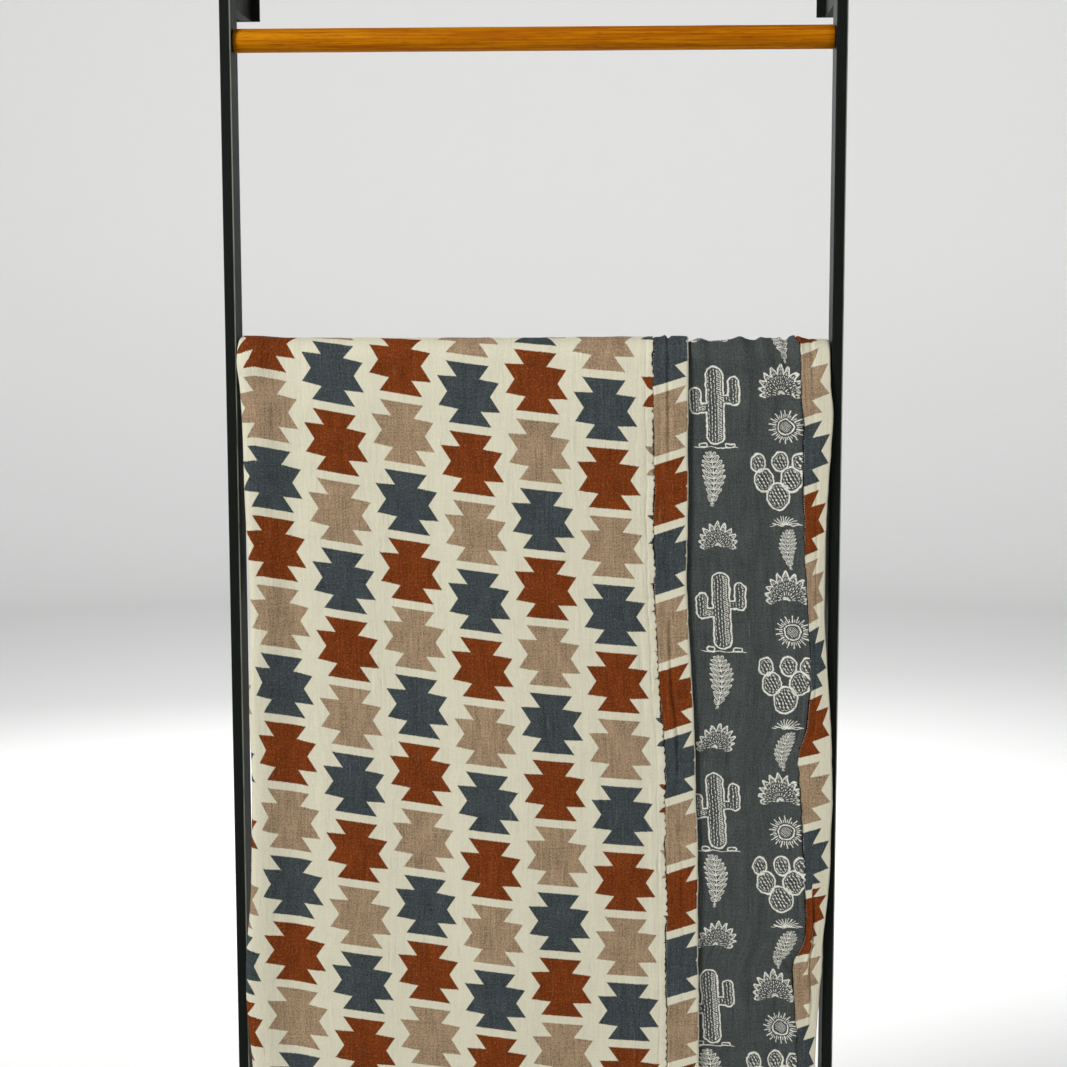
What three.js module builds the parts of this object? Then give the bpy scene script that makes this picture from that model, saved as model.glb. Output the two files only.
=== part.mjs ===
// A muslin quilt, folded lengthwise and draped over the second rung of a wall-held ladder rack.
// Millimetres, +Z up, +Y towards the wall. The origin lies on the wall's plane, midway between
// the two upper wall plates.

import * as THREE from 'three';

// Rack
const POST_WIDTH = 12;
const POST_DEPTH = 40;
const POST_CORNER = 1.6;
const INNER_WIDTH = 640;
const WALL_TO_POST = 92;
const ARM_HEIGHT = 30;
const PLATE_WIDTH = 30;
const PLATE_THICKNESS = 4;
const RUNG_RADIUS = 12.7;
const RUNG_SIDES = 32;
const RUNG_PITCH = 338.5;
const TOP_RUNG_Z = -50;
// The rungs' places, counted in pitches below the top one
const RUNG_PLACES = [0, 1, 4];
const GAP = 0.3;

// Quilt
const PANEL_THICKNESS = 1.6;
const QUILT_THICKNESS = 2 * PANEL_THICKNESS + GAP;
const BINDING_THICKNESS = 3.9;
const BINDING_WIDTH = 37;
const SEAM_GAP = 0.8;
const CLOTH_LENGTH = 1150;
const FRONT_DROP = 834;
const OUTER_RUN = 482;
const UNDER_RUN = 626;
const FOLD_RADIUS = 5.5;
const FOLD_PUFF_WIDTH = 45;
const LAYER_STEP = 5.2;
const EDGE_LIFT = 2;
const EDGE_LIFT_WIDTH = 34;
const RUNG_BEND_STEPS = 10;

// Where the quilt's edges and seams lie, by the run of cloth below the rung's middle height.
// A run under 0 is over the rung and down the back. The other columns are x.
const OUTLINE = [
  { run: -334, fold: -313, outerSeam: 131, outerEdge: 168, underSeam: 279, underEdge: 315.5 },
  { run: -60, fold: -316.5, outerSeam: 129, outerEdge: 167.5, underSeam: 280, underEdge: 317.6 },
  { run: -24, fold: -317.3, outerSeam: 128, outerEdge: 167, underSeam: 282, underEdge: 317.8 },
  { run: -9, fold: -317.8, outerSeam: 128, outerEdge: 167, underSeam: 283.5, underEdge: 317.8 },
  { run: 4, fold: -317.7, outerSeam: 128, outerEdge: 167, underSeam: 285, underEdge: 317.8 },
  { run: 28, fold: -315, outerSeam: 128, outerEdge: 167, underSeam: 286, underEdge: 318.4 },
  { run: 66, fold: -312.9, outerSeam: 128.5, outerEdge: 167.5, underSeam: 287.5, underEdge: 321.2 },
  { run: 155, fold: -311.1, outerSeam: 129, outerEdge: 167.5, underSeam: 290.5, underEdge: 316.4 },
  { run: 265, fold: -307.5, outerSeam: 132, outerEdge: 168, underSeam: 296, underEdge: 315.1 },
  { run: 350, fold: -310.1, outerSeam: 136, outerEdge: 172.5, underSeam: 301.5, underEdge: 320.4 },
  { run: 400, fold: -310.6, outerSeam: 140.5, outerEdge: 175.5, underSeam: 297, underEdge: 324 },
  { run: 434, fold: -309.4, outerSeam: 142.5, outerEdge: 177.5, underSeam: 288.5, underEdge: 325.2 },
  { run: 485, fold: -309.8, outerSeam: 143.5, outerEdge: 179, underSeam: 291.5, underEdge: 327.2 },
  { run: 565, fold: -311.4, outerSeam: 145.5, outerEdge: 181, underSeam: 297, underEdge: 324.8 },
  { run: 605, fold: -313.7, outerSeam: 146, outerEdge: 181.7, underSeam: 299, underEdge: 321.8 },
  { run: 640, fold: -317.4, outerSeam: 146, outerEdge: 182, underSeam: 297, underEdge: 318.6 },
  { run: 664, fold: -319.1, outerSeam: 146, outerEdge: 182.3, underSeam: 286.5, underEdge: 318.4 },
  { run: 715, fold: -319.3, outerSeam: 146.5, outerEdge: 183, underSeam: 288.5, underEdge: 315.3 },
  { run: 752, fold: -316.8, outerSeam: 146.8, outerEdge: 183.5, underSeam: 291, underEdge: 313.2 },
  { run: 834, fold: -309.4, outerSeam: 147, outerEdge: 184, underSeam: 293.5, underEdge: 310.5 },
];

// Soft folds of the hanging cloth: their middle, how far that leans for each millimetre down,
// their half width, how far they stand forward, and the runs between which they fade in and out.
const SOFT_FOLDS = [
  { x: -245, lean: 0.03, width: 42, rise: 2.4, from: 20, to: 900 },
  { x: -150, lean: 0.05, width: 46, rise: -2.4, from: 60, to: 900 },
  { x: 10, lean: -0.03, width: 60, rise: 3, from: 40, to: 900 },
  { x: 96, lean: 0.02, width: 42, rise: 2.2, from: -30, to: 900 },
  { x: 225, lean: 0.02, width: 26, rise: 3, from: -30, to: 900 },
  { x: 256, lean: 0.02, width: 10, rise: 3, from: -50, to: 120 },
  { x: 282, lean: 0.02, width: 8, rise: 3.4, from: -50, to: 130 },
  { x: 280, lean: 0, width: 9, rise: 3.4, from: 240, to: 440 },
  { x: 278, lean: 0, width: 9, rise: 3.4, from: 540, to: 690 },
];

const RUNG_Y = -WALL_TO_POST - POST_DEPTH / 2;
const QUILT_RUNG_Z = TOP_RUNG_Z - RUNG_PITCH;
const BOTTOM_ARM_Z = TOP_RUNG_Z - RUNG_PLACES.at(-1) * RUNG_PITCH + TOP_RUNG_Z;

// The cloth's middle surface lies this far from the rung's axis, so that its chords clear the rung
const BEND_CLEARANCE = Math.cos(Math.PI / RUNG_BEND_STEPS / 2);
const REST_RADIUS = (RUNG_RADIUS + GAP) / BEND_CLEARANCE + BINDING_THICKNESS / 2;
const BEND_RUN = Math.PI * REST_RADIUS;
const BACK_RUN = CLOTH_LENGTH - FRONT_DROP - BEND_RUN;
const TURN_RUN = Math.PI * FOLD_RADIUS;
const CLOTH_WIDTH = OUTER_RUN + TURN_RUN + UNDER_RUN;

// How the cloth leaves the rung: the middle hangs close, and the sides stand out past the posts.
// Each way of standing out grows between two distances from the middle and between two runs.
const HANG_FLARE = { rise: 4.5, fromRun: -8, toRun: 50 };
const SIDE_FLARE = { rise: 7.2, fromX: 250, toX: 311, fromRun: -16, toRun: 24 };
const FOLD_PUFF = { rise: 6.5, fromX: 270, toX: 311, middleRun: 2, halfRun: 17 };
const SOFT_FOLD_FADE = { before: 25, after: 35, end: 60 };

// Steps across the cloth, from the outer layer's seam to the under layer's
const ACROSS_STEPS = { outer: 10, puff: 3, turn: 6, underPuff: 2, under: 8, underSide: 4 };
const UNDER_PUFF_WIDTH = 60;
const UNDER_SIDE_WIDTH = 40;
const STRIP_STEPS = 2;
const BACK_STEPS = 4;

const rackSteel = new THREE.MeshStandardMaterial({ color: 0x161918, roughness: 0.45, metalness: 0.7 });
const rungWood = new THREE.MeshStandardMaterial({ color: 0xb86e1c, roughness: 0.5, metalness: 0 });
const printedMuslin = new THREE.MeshStandardMaterial({ color: 0xded6be, roughness: 0.95, metalness: 0 });
const slateMuslin = new THREE.MeshStandardMaterial({ color: 0x484e54, roughness: 0.95, metalness: 0 });
const bindingMuslin = new THREE.MeshStandardMaterial({ color: 0x9e8775, roughness: 0.95, metalness: 0 });

const part = new THREE.Group();

function add(name, geometry, material, x = 0, y = 0, z = 0) {
  const mesh = new THREE.Mesh(geometry, material);
  mesh.name = name;
  mesh.position.set(x, y, z);
  part.add(mesh);
  return mesh;
}

function smooth(value, from, to) {
  return THREE.MathUtils.smoothstep(value, from, to);
}

function bell(value) {
  return Math.exp(-value * value);
}

// A post's section, with its corners rounded
function roundedBar(width, depth, corner, length) {
  const shape = new THREE.Shape();
  const halfWidth = width / 2 - corner;
  const halfDepth = depth / 2 - corner;
  shape.absarc(halfWidth, halfDepth, corner, 0, Math.PI / 2);
  shape.absarc(-halfWidth, halfDepth, corner, Math.PI / 2, Math.PI);
  shape.absarc(-halfWidth, -halfDepth, corner, Math.PI, 1.5 * Math.PI);
  shape.absarc(halfWidth, -halfDepth, corner, 1.5 * Math.PI, 2 * Math.PI);
  return new THREE.ExtrudeGeometry(shape, { depth: length, bevelEnabled: false, curveSegments: 4 });
}

function addRack() {
  const postTop = ARM_HEIGHT / 2;
  const postBottom = BOTTOM_ARM_Z - ARM_HEIGHT / 2;
  const armLength = WALL_TO_POST - PLATE_THICKNESS - 2 * GAP;
  const armY = -PLATE_THICKNESS - GAP - armLength / 2;
  for (const [side, sign] of [['left', -1], ['right', 1]]) {
    const x = sign * (INNER_WIDTH + POST_WIDTH) / 2;
    const bar = roundedBar(POST_WIDTH, POST_DEPTH, POST_CORNER, postTop - postBottom);
    add(`post_${side}`, bar, rackSteel, x, RUNG_Y, postBottom);
    for (const [level, z] of [['upper', 0], ['lower', BOTTOM_ARM_Z]]) {
      const arm = new THREE.BoxGeometry(POST_WIDTH, armLength, ARM_HEIGHT);
      add(`arm_${level}_${side}`, arm, rackSteel, x, armY, z);
      const plate = new THREE.BoxGeometry(PLATE_WIDTH, PLATE_THICKNESS, ARM_HEIGHT);
      add(`wall_plate_${level}_${side}`, plate, rackSteel, x, -PLATE_THICKNESS / 2, z);
    }
  }
  for (const [i, place] of RUNG_PLACES.entries()) {
    const rung = new THREE.CylinderGeometry(RUNG_RADIUS, RUNG_RADIUS, INNER_WIDTH - 2 * GAP, RUNG_SIDES);
    rung.rotateZ(Math.PI / 2);
    add(`rung_${i + 1}`, rung, rungWood, 0, RUNG_Y, TOP_RUNG_Z - place * RUNG_PITCH);
  }
}

// The outline's row at any run, on a smooth curve through the table's rows
function outlineAt(run) {
  const last = OUTLINE.length - 1;
  let i = 0;
  while (i < last - 1 && OUTLINE[i + 1].run < run) i += 1;
  const before = OUTLINE[Math.max(i - 1, 0)];
  const start = OUTLINE[i];
  const end = OUTLINE[i + 1];
  const after = OUTLINE[Math.min(i + 2, last)];
  const span = end.run - start.run;
  const t = THREE.MathUtils.clamp((run - start.run) / span, 0, 1);
  const row = {};
  for (const key of ['fold', 'outerSeam', 'outerEdge', 'underSeam', 'underEdge']) {
    const startSlope = span * (end[key] - before[key]) / (end.run - before.run);
    const endSlope = span * (after[key] - start[key]) / (after.run - start.run);
    row[key] = hermite(start[key], startSlope, end[key], endSlope, t);
  }
  return row;
}

function hermite(start, startSlope, end, endSlope, t) {
  const square = t * t;
  const cube = square * t;
  return (2 * cube - 3 * square + 1) * start + (cube - 2 * square + t) * startSlope
    + (3 * square - 2 * cube) * end + (cube - square) * endSlope;
}

// The folded section: where a point across the cloth lies in x, and its height over the under layer.
// Across starts at the outer layer's free edge, goes round the fold, and ends at the under layer's.
function sectionAt(across, outline) {
  const foldX = outline.fold + FOLD_RADIUS + QUILT_THICKNESS / 2;
  if (across <= OUTER_RUN) {
    const inPanel = (across - BINDING_WIDTH) / (OUTER_RUN - BINDING_WIDTH);
    const x = inPanel < 0
      ? THREE.MathUtils.lerp(outline.outerEdge, outline.outerSeam, across / BINDING_WIDTH)
      : THREE.MathUtils.lerp(outline.outerSeam, foldX, inPanel);
    const puff = (2 * FOLD_RADIUS - LAYER_STEP) * smooth(across, OUTER_RUN - FOLD_PUFF_WIDTH, OUTER_RUN);
    const lift = EDGE_LIFT * (1 - smooth(across, 0, EDGE_LIFT_WIDTH));
    return { x, height: LAYER_STEP + puff + lift };
  }
  if (across <= OUTER_RUN + TURN_RUN) {
    const angle = (across - OUTER_RUN) / FOLD_RADIUS;
    return { x: foldX - FOLD_RADIUS * Math.sin(angle), height: FOLD_RADIUS * (1 + Math.cos(angle)) };
  }
  const inUnder = across - OUTER_RUN - TURN_RUN;
  const inPanel = inUnder / (UNDER_RUN - BINDING_WIDTH);
  const x = inPanel < 1
    ? THREE.MathUtils.lerp(foldX, outline.underSeam, inPanel)
    : THREE.MathUtils.lerp(outline.underEdge, outline.underSeam, (UNDER_RUN - inUnder) / BINDING_WIDTH);
  return { x, height: 0 };
}

// How far the hanging cloth stands out from its path over the rung
function liftAt(x, run) {
  const hang = HANG_FLARE.rise * smooth(run, HANG_FLARE.fromRun, HANG_FLARE.toRun);
  const side = SIDE_FLARE.rise * smooth(Math.abs(x), SIDE_FLARE.fromX, SIDE_FLARE.toX)
    * smooth(run, SIDE_FLARE.fromRun, SIDE_FLARE.toRun);
  const puff = FOLD_PUFF.rise * smooth(-x, FOLD_PUFF.fromX, FOLD_PUFF.toX)
    * bell((run - FOLD_PUFF.middleRun) / FOLD_PUFF.halfRun);
  let lift = hang + side + puff;
  for (const fold of SOFT_FOLDS) {
    const middle = fold.x + fold.lean * Math.max(run, 0);
    const start = smooth(run, fold.from - SOFT_FOLD_FADE.before, fold.from + SOFT_FOLD_FADE.after);
    const end = 1 - smooth(run, fold.to - SOFT_FOLD_FADE.end, fold.to);
    lift += fold.rise * start * end * bell((x - middle) / fold.width);
  }
  return lift;
}

function clothPoint(across, run) {
  const { x, height } = sectionAt(across, outlineAt(run));
  const radius = REST_RADIUS + height + liftAt(x, run);
  if (run >= 0) {
    return new THREE.Vector3(x, RUNG_Y - radius, QUILT_RUNG_Z - run);
  }
  const angle = -run / REST_RADIUS;
  if (angle < Math.PI) {
    return new THREE.Vector3(x, RUNG_Y - radius * Math.cos(angle), QUILT_RUNG_Z + radius * Math.sin(angle));
  }
  const share = (-run - BEND_RUN) / BACK_RUN;
  return new THREE.Vector3(x, RUNG_Y + radius, QUILT_RUNG_Z - share * (BACK_RUN - Math.PI * height));
}

// A point off the cloth's middle surface: to the printed side where offset is over 0
function offsetPoint(across, run, offset) {
  const step = 0.5;
  const alongAcross = clothPoint(across + step, run).sub(clothPoint(across - step, run));
  const alongRun = clothPoint(across, run + step).sub(clothPoint(across, run - step));
  const normal = alongAcross.cross(alongRun).normalize();
  return clothPoint(across, run).addScaledVector(normal, offset);
}

// One closed sheet of cloth between two offsets, over a grid of stations
function clothSheet(acrossStations, runStations, reverseOffset, faceOffset) {
  const positions = [];
  for (const offset of [faceOffset, reverseOffset]) {
    for (const run of runStations) {
      for (const across of acrossStations) positions.push(...offsetPoint(across, run, offset).toArray());
    }
  }
  const columns = acrossStations.length;
  const rows = runStations.length;
  const skin = columns * rows;
  const indices = [];
  const quad = (a, b, c, d) => indices.push(a, b, c, a, c, d);
  for (let j = 0; j < rows - 1; j += 1) {
    for (let i = 0; i < columns - 1; i += 1) {
      const a = j * columns + i;
      quad(a, a + 1, a + columns + 1, a + columns);
      quad(skin + a, skin + a + columns, skin + a + columns + 1, skin + a + 1);
    }
  }
  for (let i = 0; i < columns - 1; i += 1) {
    const end = (rows - 1) * columns + i;
    quad(i, skin + i, skin + i + 1, i + 1);
    quad(end, end + 1, skin + end + 1, skin + end);
  }
  for (let j = 0; j < rows - 1; j += 1) {
    const start = j * columns;
    const end = start + columns - 1;
    quad(start, start + columns, skin + start + columns, skin + start);
    quad(end, skin + end, skin + end + columns, end + columns);
  }
  const geometry = new THREE.BufferGeometry();
  geometry.setAttribute('position', new THREE.Float32BufferAttribute(positions, 3));
  geometry.setIndex(indices);
  return geometry;
}

function stations(from, to, steps) {
  return Array.from({ length: steps + 1 }, (_, i) => from + (to - from) * i / steps);
}

// The runs at which a sheet is sectioned: the outline's rows down the front, and even steps elsewhere
function runsBetween(from, to) {
  const bend = stations(-BEND_RUN, 0, RUNG_BEND_STEPS);
  const front = OUTLINE.map((row) => row.run).filter((run) => run > 0);
  const back = stations(-BEND_RUN - BACK_RUN + BINDING_WIDTH, -BEND_RUN, BACK_STEPS).slice(1, -1);
  const inside = [...back, ...bend, ...front].filter((run) => run > from + 1 && run < to - 1);
  return [from, ...inside, to];
}

function addQuilt() {
  const gap = SEAM_GAP / 2;
  const underStart = OUTER_RUN + TURN_RUN;
  const backHem = -BEND_RUN - BACK_RUN;
  const puffStart = OUTER_RUN - FOLD_PUFF_WIDTH;
  const underPuffEnd = underStart + UNDER_PUFF_WIDTH;
  const underSeam = CLOTH_WIDTH - BINDING_WIDTH;
  const underSide = underSeam - UNDER_SIDE_WIDTH;
  const panelAcross = [
    ...stations(BINDING_WIDTH + gap, puffStart, ACROSS_STEPS.outer).slice(0, -1),
    ...stations(puffStart, OUTER_RUN, ACROSS_STEPS.puff).slice(0, -1),
    ...stations(OUTER_RUN, underStart, ACROSS_STEPS.turn).slice(0, -1),
    ...stations(underStart, underPuffEnd, ACROSS_STEPS.underPuff).slice(0, -1),
    ...stations(underPuffEnd, underSide, ACROSS_STEPS.under).slice(0, -1),
    ...stations(underSide, underSeam - gap, ACROSS_STEPS.underSide),
  ];
  const panelRuns = runsBetween(backHem + BINDING_WIDTH + gap, FRONT_DROP - BINDING_WIDTH - gap);
  const fullRuns = runsBetween(backHem, FRONT_DROP);
  const frontHemRuns = [FRONT_DROP - BINDING_WIDTH + gap, FRONT_DROP];
  const backHemRuns = [backHem, backHem + BINDING_WIDTH - gap];
  const outerStrip = stations(0, BINDING_WIDTH - gap, STRIP_STEPS);
  const underStrip = stations(underSeam + gap, CLOTH_WIDTH, STRIP_STEPS);
  const side = GAP / 2;
  const half = QUILT_THICKNESS / 2;
  const bound = BINDING_THICKNESS / 2;

  add('face_panel', clothSheet(panelAcross, panelRuns, side, half), printedMuslin);
  add('reverse_panel', clothSheet(panelAcross, panelRuns, -half, -side), slateMuslin);
  add('binding_outer_edge', clothSheet(outerStrip, fullRuns, -bound, bound), bindingMuslin);
  add('binding_under_edge', clothSheet(underStrip, fullRuns, -bound, bound), bindingMuslin);
  add('binding_front_hem', clothSheet(panelAcross, frontHemRuns, -bound, bound), bindingMuslin);
  add('binding_back_hem', clothSheet(panelAcross, backHemRuns, -bound, bound), bindingMuslin);
}

addRack();
addQuilt();

export default part;
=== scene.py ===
import math

import bpy
import numpy as np
from mathutils import Matrix, Vector


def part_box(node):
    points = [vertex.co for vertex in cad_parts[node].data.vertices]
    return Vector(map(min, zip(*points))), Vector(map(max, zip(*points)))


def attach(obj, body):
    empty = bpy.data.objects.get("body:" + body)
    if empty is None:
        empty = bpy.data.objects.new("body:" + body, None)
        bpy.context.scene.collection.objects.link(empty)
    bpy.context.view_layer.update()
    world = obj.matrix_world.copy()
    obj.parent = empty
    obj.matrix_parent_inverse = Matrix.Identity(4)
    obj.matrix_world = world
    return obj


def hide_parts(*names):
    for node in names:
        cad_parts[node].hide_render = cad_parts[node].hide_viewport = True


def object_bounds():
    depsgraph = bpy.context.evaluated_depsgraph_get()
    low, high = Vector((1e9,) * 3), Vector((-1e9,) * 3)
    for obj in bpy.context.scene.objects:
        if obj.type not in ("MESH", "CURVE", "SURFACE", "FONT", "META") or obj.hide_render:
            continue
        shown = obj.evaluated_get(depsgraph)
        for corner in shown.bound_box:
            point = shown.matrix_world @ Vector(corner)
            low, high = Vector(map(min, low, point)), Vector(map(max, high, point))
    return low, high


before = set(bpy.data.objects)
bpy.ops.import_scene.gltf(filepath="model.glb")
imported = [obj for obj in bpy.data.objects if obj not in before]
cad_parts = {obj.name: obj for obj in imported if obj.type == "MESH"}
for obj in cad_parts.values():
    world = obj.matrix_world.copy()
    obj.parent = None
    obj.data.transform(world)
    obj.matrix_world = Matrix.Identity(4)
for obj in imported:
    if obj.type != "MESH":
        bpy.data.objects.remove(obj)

cad_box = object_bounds()

# The view: a long lens stands in front of the rack, a little right of its middle,
# and looks slightly down. Everything is in metres, +Z up and +Y towards the wall.
EYE = Vector((0.0889, -2.2958, -0.3291))
YAW = math.radians(-2.3313)
PITCH = math.radians(-6.5457)
ROLL = math.radians(-0.1055)
FOCAL_LENGTH = 67.83
SENSOR_WIDTH = 36.0

forward = Vector((math.sin(YAW) * math.cos(PITCH), math.cos(YAW) * math.cos(PITCH), math.sin(PITCH)))
level = Vector((math.cos(YAW), -math.sin(YAW), 0))
upright = level.cross(forward)
right = math.cos(ROLL) * level + math.sin(ROLL) * upright
up = math.cos(ROLL) * upright - math.sin(ROLL) * level
camera = bpy.data.objects.new("camera", bpy.data.cameras.new("camera"))
camera.data.lens = FOCAL_LENGTH
camera.data.sensor_width = SENSOR_WIDTH
camera.data.clip_end = 60
camera.matrix_world = Matrix.Translation(EYE) @ Matrix((right, up, -forward)).transposed().to_4x4()
bpy.context.scene.collection.objects.link(camera)
bpy.context.scene.camera = camera
bpy.context.scene.view_settings.view_transform = "Standard"

# The stage: a round pale floor that turns up into a low wall far from the rack, with a light
# of its own. A soft key light stands on the left, and weak ones fill in round the rack.
FLOOR_BELOW_RACK = 0.16
STAGE_FLAT_RADIUS = 6.5
STAGE_BEND_RADIUS = 1.6
STAGE_BEND_STEPS = 12
STAGE_WALL_TOP = 2.6
STAGE_CENTRE = 0.02
STAGE_SEGMENTS = 96
STAGE_WHITE = (0.78, 0.78, 0.77, 1)
SKY_WHITE = (0.9, 0.95, 1.0, 1)
SKY_STRENGTH = 0.13
# Where each light stands, the point it faces, its width and its power
LIGHTS = {
    "key": ((-2.4, -2.9, 1.75), (0, -0.1, -0.6), 1.0, 146),
    "fill": ((2.2, -3.8, 0.1), (0, -0.1, -0.7), 3.0, 10),
    "top": ((0.2, -0.9, 2.4), (0, -0.1, -0.5), 2.2, 8),
    "edge": ((2.9, -1.25, -0.3), (0, -0.1, -0.7), 0.9, 8),
    "behind": ((-0.8, 3.2, 0.8), (0, 0, -0.7), 2.6, 50),
    "backdrop": ((0, 1.2, 1.9), (0, 7.5, 0.2), 3.0, 260),
}


def mesh_object(name, points, faces, smooth=True):
    mesh = bpy.data.meshes.new(name)
    mesh.from_pydata([tuple(p) for p in points], [], [tuple(f) for f in faces])
    mesh.polygons.foreach_set("use_smooth", [smooth] * len(mesh.polygons))
    mesh.update()
    made = bpy.data.objects.new(name, mesh)
    bpy.context.scene.collection.objects.link(made)
    return made


def turned_rings(profile, segments, ring_point):
    """Points and quads of a shape that goes round, from its profile of (radius, height) rows."""
    points = []
    faces = []
    for row, (radius, height) in enumerate(profile):
        for i in range(segments):
            points.append(ring_point(radius, height, 2 * math.pi * i / segments))
            if row:
                a = (row - 1) * segments + i
                b = (row - 1) * segments + (i + 1) % segments
                faces.append((a, b, b + segments, a + segments))
    return points, faces


def stage_profile(floor):
    rows = [(radius, floor) for radius in (STAGE_CENTRE, 2.0, 4.5, STAGE_FLAT_RADIUS)]
    for step in range(1, STAGE_BEND_STEPS + 1):
        angle = math.pi / 2 * step / STAGE_BEND_STEPS
        rows.append((
            STAGE_FLAT_RADIUS + STAGE_BEND_RADIUS * math.sin(angle),
            floor + STAGE_BEND_RADIUS * (1 - math.cos(angle)),
        ))
    rows.append((STAGE_FLAT_RADIUS + STAGE_BEND_RADIUS, STAGE_WALL_TOP))
    return rows


floor_height = cad_box[0].z - FLOOR_BELOW_RACK
stage_points, stage_faces = turned_rings(
    stage_profile(floor_height), STAGE_SEGMENTS,
    lambda radius, height, angle: (radius * math.cos(angle), radius * math.sin(angle), height),
)
stage_faces.append(tuple(reversed(range(STAGE_SEGMENTS))))
stage = mesh_object("stage", stage_points, stage_faces)
stage_paint = bpy.data.materials.new("stage_paint")
stage_paint.use_nodes = True
stage_shader = stage_paint.node_tree.nodes["Principled BSDF"].inputs
stage_shader["Base Color"].default_value = STAGE_WHITE
stage_shader["Roughness"].default_value = 0.9
stage.data.materials.append(stage_paint)

world = bpy.data.worlds.new("sky")
world.use_nodes = True
sky_light = world.node_tree.nodes["Background"].inputs
sky_light["Color"].default_value = SKY_WHITE
sky_light["Strength"].default_value = SKY_STRENGTH
bpy.context.scene.world = world

for light_name, (place, target, width, power) in LIGHTS.items():
    lamp = bpy.data.lights.new(light_name, "AREA")
    lamp.size = width
    lamp.energy = power
    light = bpy.data.objects.new(light_name, lamp)
    light.location = place
    light.rotation_euler = (Vector(target) - Vector(place)).to_track_quat("-Z", "Y").to_euler()
    light.visible_camera = False
    bpy.context.scene.collection.objects.link(light)


# The rack: two upright posts, four arms and four wall plates of flat steel bar,
# welded and finished in satin black powder coat. They keep the CAD's own solids.
STEEL_BLACK = (0.0085, 0.0105, 0.0088)
STEEL_WORN = (0.016, 0.018, 0.016)
# Pale colour of the painted highlight along the posts' front right-hand arrises
STEEL_PAINTED_HIGHLIGHT = (0.34, 0.37, 0.30)
STEEL_SPECULAR = 0.05
POWDER_BUMP = (0.25, 0.00012)


class Bench:
    """Places nodes in one tree and joins them, so that a material reads as a few sums."""

    def __init__(self, tree):
        self.tree = tree
        self.placed = 0

    def node(self, kind, **settings):
        node = self.tree.nodes.new(kind)
        for name, value in settings.items():
            setattr(node, name, value)
        node.location = (190 * (self.placed % 14), -180 * (self.placed // 14))
        self.placed += 1
        return node

    def feed(self, socket, value):
        if isinstance(value, Term):
            value = value.socket
        if isinstance(value, bpy.types.NodeSocket):
            self.tree.links.new(value, socket)
        elif isinstance(value, tuple) and len(value) == 3 and len(socket.default_value) == 4:
            socket.default_value = (*value, 1)
        else:
            socket.default_value = value

    def sum(self, operation, *values):
        node = self.node("ShaderNodeMath", operation=operation)
        for socket, value in zip(node.inputs, values):
            self.feed(socket, value)
        return Term(self, node.outputs[0])

    def ramp(self, value, low, high, low_value=0.0, high_value=1.0, kind="SMOOTHSTEP"):
        node = self.node("ShaderNodeMapRange", interpolation_type=kind)
        for socket, given in zip(node.inputs, (value, low, high, low_value, high_value)):
            self.feed(socket, given)
        return Term(self, node.outputs[0])

    def noise(self, place, stretch=None, scale=1.0, detail=2.0, roughness=0.5):
        if stretch:
            place = self.stretched(place, stretch)
        node = self.node("ShaderNodeTexNoise")
        self.feed(node.inputs["Vector"], place)
        node.inputs["Scale"].default_value = scale
        node.inputs["Detail"].default_value = detail
        node.inputs["Roughness"].default_value = roughness
        return Term(self, node.outputs[0])

    def stretched(self, place, scales):
        node = self.node("ShaderNodeVectorMath", operation="MULTIPLY")
        self.feed(node.inputs[0], place)
        node.inputs[1].default_value = scales
        return node.outputs[0]

    def parts(self, place):
        node = self.node("ShaderNodeSeparateXYZ")
        self.feed(node.inputs[0], place)
        return [Term(self, socket) for socket in node.outputs]

    def joined(self, x, y, z=0.0):
        node = self.node("ShaderNodeCombineXYZ")
        for socket, value in zip(node.inputs, (x, y, z)):
            self.feed(socket, value)
        return node.outputs[0]

    def mix(self, share, first, second, blend="MIX"):
        node = self.node("ShaderNodeMix", data_type="RGBA", blend_type=blend)
        self.feed(node.inputs[0], share)
        self.feed(node.inputs[6], first)
        self.feed(node.inputs[7], second)
        return node.outputs[2]

    def group(self, tree, **inputs):
        node = self.node("ShaderNodeGroup")
        node.node_tree = tree
        for name, value in inputs.items():
            self.feed(node.inputs[name.replace("_", " ")], value)
        return node

    def bump(self, height, strength, distance):
        node = self.node("ShaderNodeBump")
        node.inputs["Strength"].default_value = strength
        node.inputs["Distance"].default_value = distance
        self.feed(node.inputs["Height"], height)
        return node.outputs[0]


class Term:
    """A number that changes over the surface. Sums of terms place the nodes that work them out."""

    def __init__(self, bench, socket):
        self.bench = bench
        self.socket = socket

    def __add__(self, other):
        return self.bench.sum("ADD", self, other)

    def __sub__(self, other):
        return self.bench.sum("SUBTRACT", self, other)

    def __rsub__(self, other):
        return self.bench.sum("SUBTRACT", other, self)

    def __mul__(self, other):
        return self.bench.sum("MULTIPLY", self, other)

    def __truediv__(self, other):
        return self.bench.sum("DIVIDE", self, other)

    def __neg__(self):
        return self.bench.sum("MULTIPLY", self, -1.0)

    __radd__ = __add__
    __rmul__ = __mul__

    def least(self, other):
        return self.bench.sum("MINIMUM", self, other)

    def most(self, other):
        return self.bench.sum("MAXIMUM", self, other)

    def size(self):
        return self.bench.sum("ABSOLUTE", self)

    def floor(self):
        return self.bench.sum("FLOOR", self)

    def root(self):
        return self.bench.sum("SQRT", self)

    def over(self, edge):
        return self.bench.sum("GREATER_THAN", self, edge)


def new_material(name):
    """A material with its shader, and a bench on its tree."""
    material = bpy.data.materials.new(name)
    material.use_nodes = True
    return material, Bench(material.node_tree), material.node_tree.nodes["Principled BSDF"]


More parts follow.
